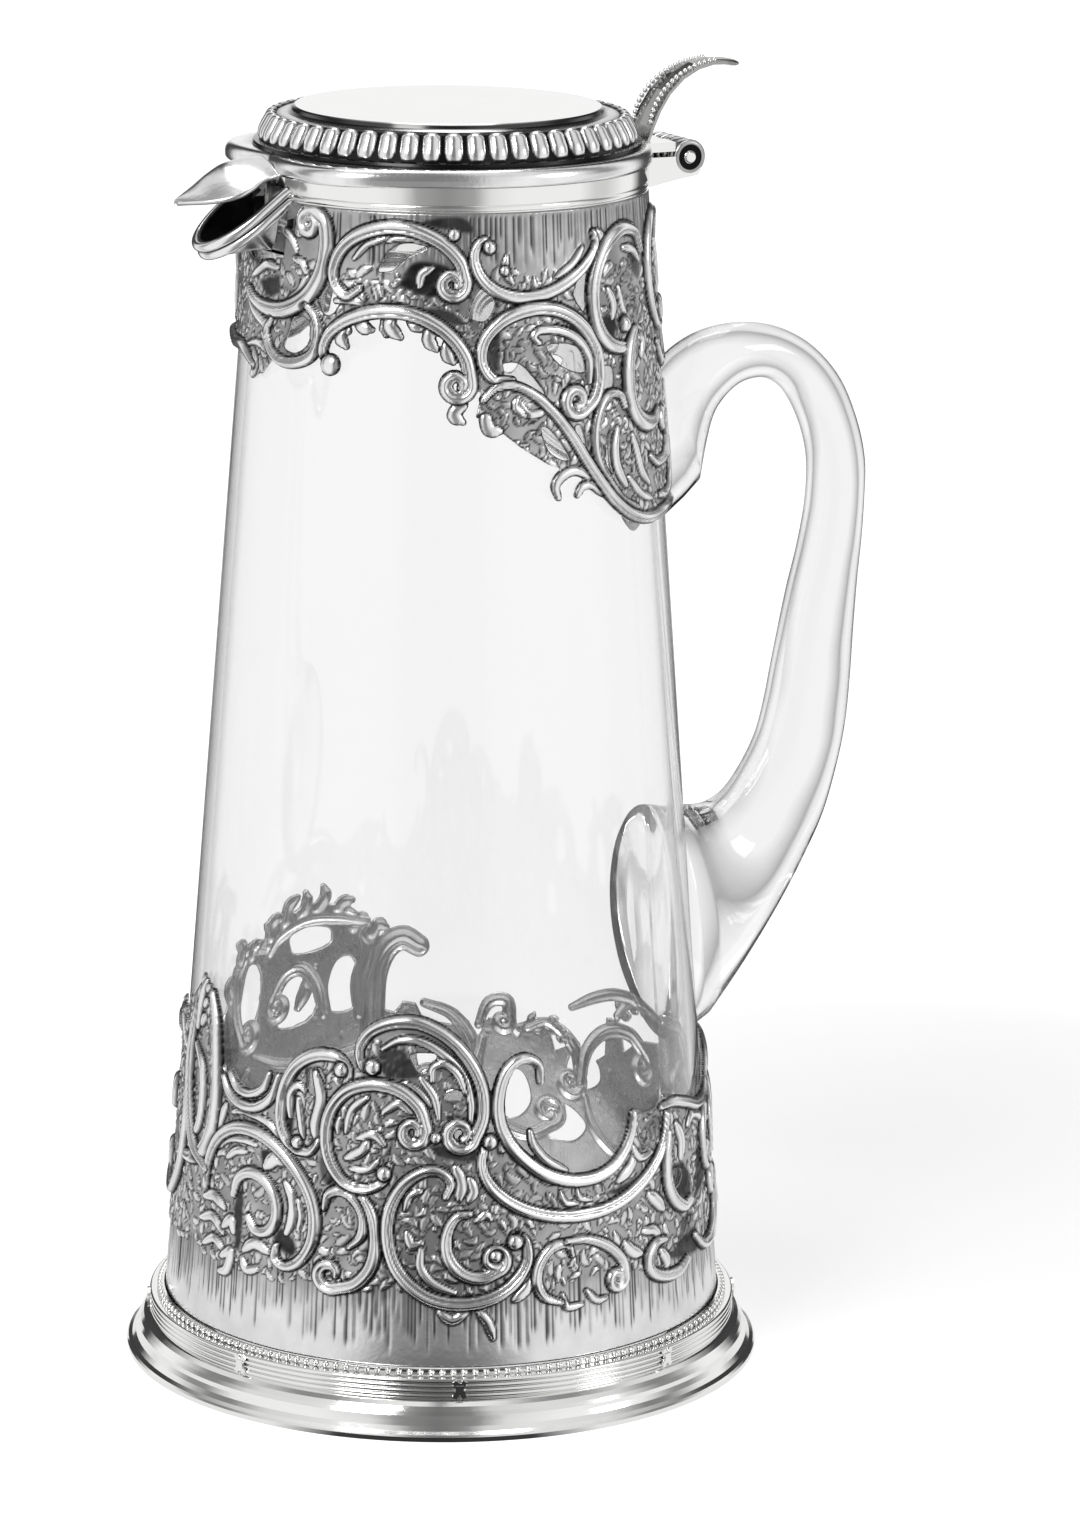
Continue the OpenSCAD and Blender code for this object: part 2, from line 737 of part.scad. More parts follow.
module gadroon_ring() {
    run = [seat_bot_r - seat_top_r, seat_bot_z - seat_top_z];
    length = norm(run);
    lean = atan2(run[0], -run[1]);
    mid_r = (seat_top_r + seat_bot_r) / 2;
    mid_z = (seat_top_z + seat_bot_z) / 2;
    body = length - lobe_w;
    color(silver)
        swung()
            difference() {
                union() {
                    rotate_extrude()
                        polygon([
                            [seat_top_r - 0.3, seat_top_z - 0.2],
                            [seat_top_r + 0.3, seat_top_z - 0.1],
                            [seat_bot_r + 0.8, seat_bot_z + 0.5],
                            [seat_bot_r + 0.8, seat_bot_z],
                            [seat_bot_r - 0.3, seat_bot_z]
                        ]);
                    for (i = [0 : lobe_count - 1])
                        rotate([0, 0, 360 * i / lobe_count])
                            translate([mid_r, 0, mid_z])
                                rotate([0, -lean, 0])
                                    rotate_extrude()
                                        intersection() {
                                            union() {
                                                square([lobe_w / 2, body], center = false);
                                                translate([0, body])
                                                    circle(d = lobe_w);
                                                mirror([0, 1])
                                                    square([lobe_w / 2, body]);
                                                translate([0, -body])
                                                    circle(d = lobe_w);
                                            }
                                            translate([0, -length / 2])
                                                square([lobe_w, length]);
                                        }
                }
                rotate_extrude()
                    polygon([
                        [0, seat_bot_z - 8], [seat_bot_r, seat_bot_z - 8],
                        [seat_bot_r, seat_bot_z], [seat_top_r, seat_top_z - 0.2],
                        [seat_top_r, seat_top_z + 0.6], [0, seat_top_z + 0.6]
                    ]);
                translate([0, 0, flange_top - 5])
                    cylinder(h = 6.2, r = foot_d);
            }
}

module lid_flange() {
    hole_r = neck_r - bezel_gap - 1.6;
    color(silver)
        swung()
            rotate_extrude()
                polygon([
                    [hole_r, seat_z], [flange_r - 0.5, seat_z], [flange_r, seat_z + 0.7],
                    [flange_r, seat_z + flange_t * 0.6], [flange_r - 0.4, flange_top - 0.6],
                    [flange_r - 1.2, flange_top], [hole_r, flange_top]
                ]);
}

module lid_bezel() {
    out = neck_r - bezel_gap;
    color(silver)
        swung()
            difference() {
                translate([0, 0, seat_z - bezel_h])
                    cylinder(h = bezel_h, r = out);
                translate([0, 0, seat_z - bezel_h - eps])
                    cylinder(h = bezel_h + 1, r = out - 0.8);
            }
}

// Straight front of the flange with the roof-shaped beak over the pouring lip
module lid_beak() {
    thick = 1;
    half = beak_w / 2;
    root = front_reach - 2;
    run = beak_reach - front_reach;
    corner_x = front_reach - front_corner_r;
    tip_z = seat_z - beak_drop;
    // stations [distance from the axis, half width, height of the side edge]
    edge = [
        [root, half * 0.86, seat_z - 0.2], [front_reach + run * 0.25, half * 0.95, seat_z - 3.2],
        [front_reach + run * 0.6, half, seat_z - 4.2],
        [front_reach + run * 0.86, half * 0.6, tip_z + 0.2], [beak_reach, 0.4, tip_z]
    ];
    rim = [for (q = edge, k = [-1, 1]) [-q[0], k * q[1], q[2]]];
    ridge = [[-root, 0, flange_top - 0.6], [-front_reach - run * 0.24, 0, flange_top - 1],
             [-beak_reach + 1.6, 0, tip_z + 1.3]];
    low = [for (q = rim) q - [0, 0, thick * 0.6]];
    color(silver)
        swung()
            difference() {
                union() {
                    cloud(concat(rim, low, ridge));
                    hull() {
                        for (side = [-1, 1], k = [[0, 0.5], [0.2, 0], [0.6, 0], [1, 1.2]])
                            translate([-corner_x, side * front_w / 2,
                                       seat_z + k[0] * (flange_t - 0.1)])
                                cylinder(h = 0.1, r = front_corner_r - k[1], $fn = 32);
                        for (k = [[0, 0.5], [0.2, 0], [0.6, 0], [1, 1.2]])
                            translate([0, 0, seat_z + k[0] * (flange_t - 0.1)])
                                cylinder(h = 0.1, r = flange_r - 0.5 - k[1], $fn = 64);
                    }
                }
                translate([0.6, 0, -thick])
                    cloud(concat(
                        [for (q = rim) [min(q[0], -flange_r), q[1] * 0.88, q[2]]],
                        [for (q = rim) [min(q[0], -flange_r), q[1] * 0.88, q[2] - 6]],
                        [for (q = ridge) q - [0, 0, 0.4]]
                    ));
                translate([0, 0, seat_z - 20])
                    cylinder(h = 60, r = flange_r + 0.04);
            }
}

// ---------------------------------------------------------------- thumbpiece

// Thumbpiece stations along its middle: [share of reach, share of height, half width]
thumb_stations = [
    [0, 0, 1], [0.05, 0.2, 1], [0.12, 0.42, 0.98], [0.22, 0.64, 0.96], [0.36, 0.83, 0.94],
    [0.52, 0.95, 0.9], [0.68, 1, 0.82], [0.84, 0.99, 0.66], [0.95, 0.96, 0.42], [1, 0.95, 0.2]
];
thumb_root_x = band_r + 2.6;
thumb_root_z = leaf_top - 0.4;

function thumb_at(q) =
    [thumb_root_x + q[0] * (thumb_reach - thumb_root_x), 0,
     thumb_root_z + q[1] * (flange_top + thumb_h - thumb_root_z)];

module thumbpiece() {
    section = [[-1, -0.5], [0, -0.75], [1, -0.5], [1, 0.1], [0.6, 0.55], [0, 0.75],
               [-0.6, 0.55], [-1, 0.1]];
    p = [for (q = thumb_stations) thumb_at(q)];
    half = thumb_w / 2;
    count = len(p);
    t = [for (i = [0 : count - 1]) unit(p[min(i + 1, count - 1)] - p[max(i - 1, 0)])];
    rings = [
        for (i = [0 : count - 1])
            let (out = unit(cross(t[i], [0, 1, 0])),
                 wide = half * thumb_stations[i][2], deep = i == count - 1 ? 0.5 : 1)
                [for (q = section) p[i] + [0, q[0] * wide, 0] + out * q[1] * deep]
    ];
    color(silver)
        swung()
            difference() {
                loft(rings);
                translate([0, -thumb_w, leaf_top - 5])
                    cube([hinge_x, 2 * thumb_w, 5]);
            }
}

module thumb_beads() {
    d = 1.1;
    per_row = 9;
    half = thumb_w / 2;
    color(silver)
        swung()
            for (side = [-1, 1], i = [1 : per_row])
                let (f = i / per_row * 5.2, k = floor(f), g = f - k,
                     a = thumb_at(thumb_stations[k]), b = thumb_at(thumb_stations[k + 1]),
                     dir = unit(b - a), out = cross(dir, [0, 1, 0]))
                    translate(a + (b - a) * g + out * 1.15 + [0, side * half * 0.6, 0])
                        sphere(d = d, $fn = 36);
}

// ---------------------------------------------------------------- assembly

glass_body();
glass_handle();
base_cement();
foot_ring();
reed_band();
reed_ties();
base_beads();
base_sleeve();
collar_skirt();
collar_band();
neck_cement();
spout_lip();
spout_wire();
hinge_bracket();
hinge_pin();
lid_cover();
gadroon_ring();
lid_flange();
lid_bezel();
lid_beak();
lid_hinge_leaf();
thumbpiece();
thumb_beads();
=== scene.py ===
"""Looks of a glass claret jug with chased silver mounts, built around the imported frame.

Lengths are millimetres unless a comment says metres, and the objects are metres (MM). The
jug stands on z = 0, its pouring lip points to -X and its handle to +X. Ornament is drawn on
the unrolled cone: s runs round the jug from the lip (0) over the side towards -Y, and z
runs up.
"""
import json
import math

import bpy
import numpy as np
from mathutils import Matrix, Vector


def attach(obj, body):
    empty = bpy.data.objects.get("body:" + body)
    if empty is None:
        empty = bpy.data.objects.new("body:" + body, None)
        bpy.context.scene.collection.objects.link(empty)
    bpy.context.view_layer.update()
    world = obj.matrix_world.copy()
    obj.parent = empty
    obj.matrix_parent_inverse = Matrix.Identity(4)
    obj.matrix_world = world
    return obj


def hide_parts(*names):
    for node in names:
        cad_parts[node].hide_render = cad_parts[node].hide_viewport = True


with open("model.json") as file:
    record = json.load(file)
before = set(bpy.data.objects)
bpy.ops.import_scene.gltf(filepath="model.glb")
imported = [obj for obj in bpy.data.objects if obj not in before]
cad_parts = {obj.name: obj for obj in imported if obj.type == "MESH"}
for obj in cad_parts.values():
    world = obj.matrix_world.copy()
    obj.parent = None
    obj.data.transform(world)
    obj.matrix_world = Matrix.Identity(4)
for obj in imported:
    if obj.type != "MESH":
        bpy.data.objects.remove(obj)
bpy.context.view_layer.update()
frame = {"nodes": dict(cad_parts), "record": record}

MM = 0.001
JUG = "jug"
LID = "lid"
rng = np.random.default_rng(7)

# ---------------------------- sizes, in mm

GLASS_LIFT = 3.0
GLASS_H = 249.0
FOOT_R = 60.2
MOUTH_R = 41.4
TAPER = (FOOT_R - MOUTH_R) / GLASS_H
# radii at which the ornament's s is measured
SLEEVE_REF = 58.0
SKIRT_REF = 44.0
# lower and upper end of each mount's maps
SLEEVE_SPAN = (13.4, 92)
SKIRT_SPAN = (184, 253.1)
# least darkness of their inner faces, from patina and painted shade
SLEEVE_INNER = 0.17
SKIRT_INNER = 0.05
# the mounts' gap to the glass and their thickness
MOUNT_GAP = 0.2
MOUNT_T = 0.5
# height of a leaf, and half width and height of a stroke of the matting
LEAF_H = 0.9
STROKE_W = 0.6
STROKE_H = 0.5
# middle height, height and width of the handle's two seats on the glass
PAD = (88.0, 53.0, 34.0)
ROOT = (191.5, 31.0, 18.0)
# half height and half width of the skirt's hole for the upper seat
ROOT_HOLE = (16.2, 9.8)
# half width and lower end of the skirt's notch behind the lip
NOTCH_HALF = 9.6
NOTCH_LOW = 241.5


def cone_r(z):
    """Outer radius of the glass at height z."""
    return FOOT_R - TAPER * (z - GLASS_LIFT)


# ---------------------------- nodes of the materials


def put(tree, socket, value):
    """Set a socket to a value, or link it to the socket given."""
    if isinstance(value, bpy.types.NodeSocket):
        tree.links.new(value, socket)
    else:
        socket.default_value = value


def add(tree, kind, **values):
    """New node; each value goes to its socket, or else to its setting."""
    node = tree.nodes.new(kind)
    for key, value in values.items():
        if key in node.inputs:
            put(tree, node.inputs[key], value)
        else:
            setattr(node, key, value)
    return node


def math_node(tree, operation, *values):
    """Math node on sockets or plain numbers; gives its result's socket."""
    node = add(tree, "ShaderNodeMath", operation=operation)
    for socket, value in zip(node.inputs, values):
        put(tree, socket, value)
    return node.outputs[0]


def blend(tree, factor, first, second, how="MIX"):
    """Mix of two colours or colour sockets."""
    node = add(tree, "ShaderNodeMix", data_type="RGBA", blend_type=how)
    for place, value in ((0, factor), (6, first), (7, second)):
        put(tree, node.inputs[place], value)
    return node.outputs[2]


def ramp(tree, source, stops):
    """Colour ramp over source; stops are (place, (r, g, b) or grey)."""
    node = add(tree, "ShaderNodeValToRGB", Fac=source)
    while len(node.color_ramp.elements) < len(stops):
        node.color_ramp.elements.new(0.5)
    for element, (place, colour) in zip(node.color_ramp.elements, stops):
        element.position = place
        rgb = (colour,) * 3 if isinstance(colour, (int, float)) else colour
        element.color = (*rgb, 1)
    return node.outputs["Color"]


def coordinates(tree, kind="Object"):
    return add(tree, "ShaderNodeTexCoord").outputs[kind]


def noise(tree, scale, detail):
    """Noise in the part's own coordinates, which are metres."""
    node = add(tree, "ShaderNodeTexNoise", Vector=coordinates(tree), Scale=scale, Detail=detail)
    return node.outputs["Fac"]


def bump(tree, height, strength, distance):
    node = add(tree, "ShaderNodeBump", Height=height, Strength=strength, Distance=distance)
    return node.outputs["Normal"]


# ---------------------------- materials


def new_material(name):
    mat = bpy.data.materials.new(name)
    mat.use_nodes = True
    tree = mat.node_tree
    return mat, tree, tree.nodes["Principled BSDF"], tree.nodes["Material Output"]


def settle(tree, bsdf, **values):
    """Set or link the shader's sockets, with _ for the spaces in their names."""
    for key, value in values.items():
        put(tree, bsdf.inputs[key.replace("_", " ")], value)


def silver_material(name, bright, rough, scratch):
    """Polished silver with fine wear in its gloss."""
    mat, tree, bsdf, _ = new_material(name)
    gloss = ramp(tree, noise(tree, 90, 5), [(0.3, rough), (0.75, rough + 0.07)])
    dents = bump(tree, noise(tree, 260, 3), scratch, 0.0004)
    settle(tree, bsdf, Metallic=1, Base_Color=(*bright, 1), Roughness=gloss, Normal=dents)
    return mat


def chased_material(name):
    """Chased silver: bright ridges, dark in the recesses from patina and painted shade, read
    from a mesh attribute.
    """
    mat, tree, bsdf, _ = new_material(name)
    patina_and_shade = add(tree, "ShaderNodeAttribute", attribute_name="patina_and_shade").outputs["Fac"]
    mixed = math_node(tree, "MULTIPLY_ADD", noise(tree, 170, 3), 0.3, patina_and_shade)
    tone = ramp(tree, mixed,
                [(0.12, 0.86), (0.32, 0.68), (0.55, 0.34), (0.8, 0.09), (1.0, 0.012)])
    gloss = ramp(tree, mixed, [(0.1, 0.16), (0.5, 0.32), (1.0, 0.6)])
    grain = bump(tree, noise(tree, 1100, 3), 0.12, 0.0002)
    settle(tree, bsdf, Metallic=1, Base_Color=tone, Roughness=gloss, Normal=grain)
    return mat


def glass_material(name, painted_line_wander, painted_edge_tones):
    """Clear glass with painted dark edges: greyer where it is seen edge on, with painted dark
    lines that noise can make wander; it lets light through its shadow.
    """
    mat, tree, bsdf, out = new_material(name)
    edge = add(tree, "ShaderNodeLayerWeight", Blend=0.5).outputs["Facing"]
    painted_lines = math_node(tree, "MULTIPLY_ADD", noise(tree, 26, 2), painted_line_wander, edge)
    blown = bump(tree, noise(tree, 22, 1), 0.05, 0.002)
    settle(tree, bsdf, Transmission_Weight=1, Roughness=0, IOR=1.5, Normal=blown,
           Base_Color=ramp(tree, painted_lines, painted_edge_tones))
    path = add(tree, "ShaderNodeLightPath")
    clear = add(tree, "ShaderNodeBsdfTransparent", Color=(0.93, 0.93, 0.93, 1))
    mix = add(tree, "ShaderNodeMixShader", Fac=path.outputs["Is Shadow Ray"])
    put(tree, mix.inputs[1], bsdf.outputs["BSDF"])
    put(tree, mix.inputs[2], clear.outputs["BSDF"])
    put(tree, out.inputs["Surface"], mix.outputs["Shader"])
    return mat


def turned_material(name, bright, rough, shade_rings):
    """Polished silver with rings of painted shade: (distance from the axis in mm, share of
    painted shade).
    """
    mat = silver_material(name, bright, rough, 0.03)
    tree = mat.node_tree
    flat = add(tree, "ShaderNodeVectorMath", operation="MULTIPLY")
    put(tree, flat.inputs[0], coordinates(tree))
    put(tree, flat.inputs[1], (1, 1, 0))
    away = add(tree, "ShaderNodeVectorMath", operation="LENGTH")
    put(tree, away.inputs[0], flat.outputs[0])
    share = math_node(tree, "MULTIPLY", away.outputs["Value"], 1 / (SHADE_RING_SPAN * MM))
    stops = [(r / SHADE_RING_SPAN, tuple(c * (1 - dark) for c in bright)) for r, dark in shade_rings]
    settle(tree, tree.nodes["Principled BSDF"], Base_Color=ramp(tree, share, stops))
    return mat


def plaster_material(name):
    mat, tree, bsdf, _ = new_material(name)
    grain = ramp(tree, noise(tree, 400, 6), [(0.3, 0.72), (0.7, 0.86)])
    settle(tree, bsdf, Base_Color=grain, Roughness=0.9)
    return mat


# distance from the axis that the ramp of painted shade rings reaches, in mm
SHADE_RING_SPAN = 50.0
SILVER = silver_material("polished_silver", (0.86, 0.86, 0.85), 0.07, 0.04)
CHASED = chased_material("chased_silver")
# tones over the facing: painted dark edges; the thick glass adds bands of painted dark
# refraction lines
GLASS = glass_material(
    "clear_glass", 0.0, [(0.0, 0.998), (0.5, 0.99), (0.72, 0.88), (0.88, 0.5), (1.0, 0.2)])
THICK_GLASS = glass_material(
    "thick_glass", 0.35,
    [(0.0, 0.97), (0.34, 0.96), (0.45, 0.5), (0.53, 0.2), (0.59, 0.75), (0.68, 0.96),
     (0.84, 0.9), (0.94, 0.4), (1.0, 0.2)])
PLASTER = plaster_material("plaster")
# darker base colour than the other silver, with rougher scratched gloss
THUMB = silver_material("dark_scratched_silver", (0.38, 0.38, 0.37), 0.2, 0.25)
# painted shade: dark in the step round the disc and where the cover runs in under the lobes
COVER = turned_material(
    "lid_silver", (0.88, 0.88, 0.87), 0.12,
    [(31.9, 0.0), (32.3, 0.93), (32.9, 0.9), (33.4, 0.45), (34.8, 0.5), (35.4, 0.95),
     (36.6, 0.97)])

# ---------------------------- meshes


def new_piece(name, verts, quads, body, replaces, patina_and_shade=None, mat=CHASED,
              slot="silver_plain"):
    """Smooth mesh from verts (n, 3) in mm and quads (m, 4), riding on its body."""
    mesh = bpy.data.meshes.new(name)
    mesh.vertices.add(len(verts))
    mesh.vertices.foreach_set("co", (np.asarray(verts) * MM).astype(np.float32).ravel())
    mesh.loops.add(quads.size)
    mesh.loops.foreach_set("vertex_index", quads.astype(np.int32).ravel())
    mesh.polygons.add(len(quads))
    mesh.polygons.foreach_set("loop_start", np.arange(0, quads.size, 4, dtype=np.int32))
    mesh.polygons.foreach_set("use_smooth", np.ones(len(quads), dtype=bool))
    mesh.update(calc_edges=True)
    mesh.validate()
    obj = bpy.data.objects.new(name, mesh)
    bpy.context.scene.collection.objects.link(obj)
    mesh.materials.append(mat)
    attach(obj, body)
    if replaces:
        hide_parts(*replaces)
    # per-vertex darkness that the chased material reads: patina and painted shade
    if patina_and_shade is not None:
        layer = mesh.attributes.new("patina_and_shade", "FLOAT", "POINT")
        layer.data.foreach_set("value", np.asarray(patina_and_shade, np.float32).ravel())


def ring_grid(rows, columns):
    """Quads of a grid whose rows are closed rings, with the last row joined to the first."""
    r, c = np.meshgrid(np.arange(rows), np.arange(columns), indexing="ij")
    up, right = (r + 1) % rows, (c + 1) % columns
    return np.stack([r * columns + c, r * columns + right, up * columns + right,
                     up * columns + c], -1).reshape(-1, 4)


def loft(name, rings, body, replaces, patina_and_shade, joined=False, **finish):
    """Skin through closed rings (rows, columns, 3); joined links the last to the first."""
    rings = np.asarray(rings, float)
    rows, columns = rings.shape[:2]
    quads = ring_grid(rows, columns)[: (rows if joined else rows - 1) * columns]
    if patina_and_shade is not None:
        patina_and_shade = np.broadcast_to(patina_and_shade, (rows, columns))
    new_piece(name, rings.reshape(-1, 3), quads, body, replaces, patina_and_shade, **finish)


# ---------------------------- lines of the ornament

# points to a turn of a volute, and the share of its radius that it loses
VOLUTE_STEPS = 26
VOLUTE_LOSS = 0.62


def spline(points, step=0.7):
    """Smooth curve through points (Catmull-Rom), sampled about every step mm."""
    p = np.asarray(points, float)
    if len(p) < 3:
        n = max(2, int(np.linalg.norm(p[-1] - p[0]) / step))
        t = np.linspace(0, 1, n)[:, None]
        return p[0] * (1 - t) + p[-1] * t
    ends = np.vstack([2 * p[0] - p[1], p, 2 * p[-1] - p[-2]])
    out = []
    for i in range(1, len(ends) - 2):
        a, b, c, d = ends[i - 1 : i + 3]
        n = max(2, int(np.linalg.norm(c - b) / step))
        t = (np.arange(n) / n)[:, None]
        out.append(0.5 * (2 * b + (c - a) * t + (2 * a - 5 * b + 4 * c - d) * t ** 2
                          + (3 * b - a - 3 * c + d) * t ** 3))
    return np.vstack([*out, p[-1:]])


def rounded(polygon):
    """Closed smooth outline through a polygon's corners."""
    count = len(polygon)
    path = spline([*polygon, *polygon, polygon[0]], 0.5)
    first = np.argmin(np.hypot(*(path[len(path) // 3 : 2 * len(path) // 3]
                                 - polygon[0]).T)) + len(path) // 3
    last = first + np.argmin(np.hypot(*(path[first + 3 * count :] - polygon[0]).T)) + 3 * count
    return path[first:last]


def curl(points, radius, side, turns=1.15):
    """Curve through points that ends in a volute of that radius; side +1 turns left."""
    path = spline(points)
    heading = math.atan2(*(path[-1] - path[-2])[::-1])
    place = path[-1].copy()
    steps = int(turns * VOLUTE_STEPS)
    out = [path]
    for i in range(steps):
        r = radius * (1 - VOLUTE_LOSS * i / steps)
        ds = 2 * math.pi * r / VOLUTE_STEPS
        heading += side * ds / r
        place = place + ds * np.array([math.cos(heading), math.sin(heading)])
        out.append(place[None])
    return np.vstack(out)


class Relief:
    """Maps over the unrolled cone: height of the relief, darkness from patina and painted shade,
    and signed metal edge.
    """

    def __init__(self, ref, low, high, step, inner):
        self.ref = ref
        self.columns = int(round(2 * math.pi * ref / step))
        self.rows = int(round((high - low) / step)) + 1
        self.ds = 2 * math.pi * ref / self.columns
        self.dz = (high - low) / (self.rows - 1)
        self.low = low
        shape = (self.rows, self.columns)
        self.high = np.zeros(shape)
        self.dark = np.zeros(shape)
        self.metal = np.full(shape, -9.0)
        self.ground = np.full(shape, 0.34)
        self.inner = inner
        self.flip = 1
        self.s = np.arange(self.columns)[None, :] * self.ds
        self.z = low + np.arange(self.rows)[:, None] * self.dz

    def window(self, pts, pad):
        """Part of the maps round some points, with its s and z."""
        lo = pts.min(0) - pad
        hi = pts.max(0) + pad
        cols = np.arange(int(np.floor(lo[0] / self.ds)), int(np.ceil(hi[0] / self.ds)) + 1)
        cols = cols[: self.columns]
        r0 = max(0, int(np.floor((lo[1] - self.low) / self.dz)))
        r1 = min(self.rows - 1, int(np.ceil((hi[1] - self.low) / self.dz)))
        rows = np.arange(r0, max(r0, r1) + 1)
        s, z = np.meshgrid(cols * self.ds, self.low + rows * self.dz)
        return np.ix_(rows, cols % self.columns), s, z

    def place(self, points):
        p = np.array(points, float)
        p[:, 0] *= self.flip
        return p

    def distance(self, pts, share, pad):
        """Distance to a polyline, and its width factor and side (left = 1) at that place."""
        where, s, z = self.window(pts, pad)
        best = np.full(s.shape, 1e9)
        val = np.zeros(s.shape)
        side = np.ones(s.shape)
        for a, b, va, vb in zip(pts[:-1], pts[1:], share[:-1], share[1:]):
            d = b - a
            ds, dz = s - a[0], z - a[1]
            t = np.clip((ds * d[0] + dz * d[1]) / max(d @ d, 1e-9), 0, 1)
            dist = np.hypot(ds - t * d[0], dz - t * d[1])
            near = dist < best
            best[near] = dist[near]
            val[near] = (va + t * (vb - va))[near]
            side[near] = np.where(d[0] * dz >= d[1] * ds, 1, -1)[near]
        return where, best, val, side

    def rib(self, points, w, h, ends=(0.55, 0.55), groove=0.0, edge=0.25):
        """Raised rib of half width w and height h along a curve, tapering to its ends."""
        pts = self.place(points)
        t = np.linspace(0, 1, len(pts))
        bulge = np.clip(np.minimum(t / 0.3, (1 - t) / 0.3), 0, 1)
        tip = np.where(t < 0.5, *ends)
        share = tip + (1 - tip) * np.sin(bulge * math.pi / 2)
        where, dist, val, side = self.distance(pts, share, w + 2)
        step = np.diff(pts, axis=0)
        bend = np.sum(step[:-1, 0] * step[1:, 1] - step[:-1, 1] * step[1:, 0])
        width = w * val
        q = dist / np.maximum(width, 1e-6)
        inside = q < 1
        cut = np.exp(-(((q * side * math.copysign(1, bend) - 0.34) / 0.2) ** 2))
        crown = np.sqrt(np.clip(1 - q ** 2, 0, 1)) ** 0.8 * (1 - groove * cut)
        high = self.high[where]
        dark = self.dark[where]
        # painted shade, partly patina: a dark outline in the hollow round each rib, darker
        # flanks on the rib, and dark in its groove
        outline = np.exp(-((np.clip(dist - width, 0, 9) / (0.26 + 0.14 * w)) ** 2))
        rim = np.clip((q - 0.68) / 0.32, 0, 1) ** 1.5 * 0.7
        self.high[where] = np.where(
            inside, np.maximum(h * (0.4 + 0.6 * val) * crown, high * 0.35),
            high * (1 - 0.75 * outline))
        self.dark[where] = np.where(
            inside, np.maximum(rim, groove * 0.8 * cut),
            np.maximum(dark, min(1.0, 0.62 + 0.3 * h) * outline))
        self.metal[where] = np.maximum(self.metal[where], width + edge - dist)

    def ball(self, s, z, r, h):
        self.rib([(s - 0.01, z), (s + 0.01, z)], w=r, h=h, ends=(1, 1))

    def leaf(self, points, w, lobes, reach=2.6):
        """Acanthus leaf: lobes fan out on both sides of a stem that thins to its tip."""
        stem = spline(points)
        for i in range(lobes):
            k = (i + 0.6) / lobes
            at = stem[int(k * (len(stem) - 1))]
            ahead = stem[min(len(stem) - 1, int(k * (len(stem) - 1)) + 1)] - at
            ahead = ahead / max(np.linalg.norm(ahead), 1e-6)
            side = np.array([-ahead[1], ahead[0]])
            long = reach * (1 - 0.45 * k)
            for sign in (-1, 1):
                tip = at + ahead * long * 0.7 + side * sign * long
                mid = at + ahead * long * 0.15 + side * sign * long * 0.6
                self.rib(spline([at, mid, tip]), w=w * 0.62 * (1 - 0.3 * k), h=LEAF_H * 0.8,
                         ends=(0.8, 0.35))
        self.rib(stem, w=w * 0.5, h=LEAF_H * 1.15, ends=(0.9, 0.3))

    def signed(self, polygon, pad=1.5):
        """Signed distance to a closed polygon, positive inside."""
        pts = self.place(polygon)
        ring = np.vstack([pts, pts[:1]])
        where, dist, _, _ = self.distance(ring, np.ones(len(ring)), pad)
        _, s, z = self.window(ring, pad)
        inside = np.zeros(s.shape, bool)
        for a, b in zip(ring[:-1], ring[1:]):
            if a[1] == b[1]:
                continue
            crosses = (a[1] > z) != (b[1] > z)
            at = (b[0] - a[0]) * (z - a[1]) / (b[1] - a[1]) + a[0]
            inside ^= crosses & (s < at)
        return where, np.where(inside, dist, -dist)

    def sheet(self, polygon):
        where, sd = self.signed(polygon)
        self.metal[where] = np.maximum(self.metal[where], sd)

    def hole(self, polygon):
        """Pierced opening, a little darkened round its edge."""
        where, sd = self.signed(rounded(polygon))
        self.metal[where] = np.minimum(self.metal[where], -sd)
        near = np.exp(-((np.clip(-sd, 0, 9) / 0.8) ** 2))
        self.dark[where] = np.maximum(self.dark[where], 0.55 * near)

    def tint(self, polygon, amount, soft):
        """Darkened ground inside a rounded outline."""
        where, sd = self.signed(rounded(polygon), soft)
        k = np.clip(sd / soft + 0.5, 0, 1) * amount * 0.85
        self.dark[where] = np.maximum(self.dark[where], k)

    def hatch(self, s0, s1, top, low, pitch, amount=0.8):
        """Upright chased lines of uneven length over the bare ground."""
        z = self.z[:, 0]
        for i in range(int((s1 - s0) / pitch)):
            s = s0 + (i + rng.uniform(0.15, 0.85)) * pitch
            col = int(round(self.flip * s / self.ds))
            end = top - (top - low) * rng.uniform(0.3, 1.0) ** 0.6
            fade = np.clip((z - end) / 2.5, 0, 1) * np.clip((top - z) / 1.0, 0, 1)
            for off, k in ((0, 1.0), (1, 0.35), (-1, 0.35)):
                c = (col + off) % self.columns
                bare = np.clip(1 - self.high[:, c] / 0.15, 0, 1)
                mark = amount * k * fade * bare * rng.uniform(0.35, 1.0)
                self.dark[:, c] = np.maximum(self.dark[:, c], mark)
                self.high[:, c] -= 0.16 * k * fade * bare

    def matting(self, pitch, low, high):
        """Small curved strokes all over the ground, drawn before the scrolls."""
        for i in range(int(self.columns * self.ds / pitch)):
            for j in range(int((high - low) / pitch)):
                at = np.array([(i + rng.uniform(0, 1)) * pitch,
                               low + (j + rng.uniform(0, 1)) * pitch])
                turn = rng.uniform(0, 2 * math.pi)
                long = rng.uniform(0.7, 1.8)
                ahead = np.array([math.cos(turn), math.sin(turn)]) * long
                side = np.array([-ahead[1], ahead[0]]) * rng.uniform(-0.6, 0.6)
                self.rib(spline([at - ahead, at + side, at + ahead]), w=STROKE_W * long / 1.2,
                         h=STROKE_H * rng.uniform(0.4, 1.0), ends=(0.5, 0.2), edge=-1)

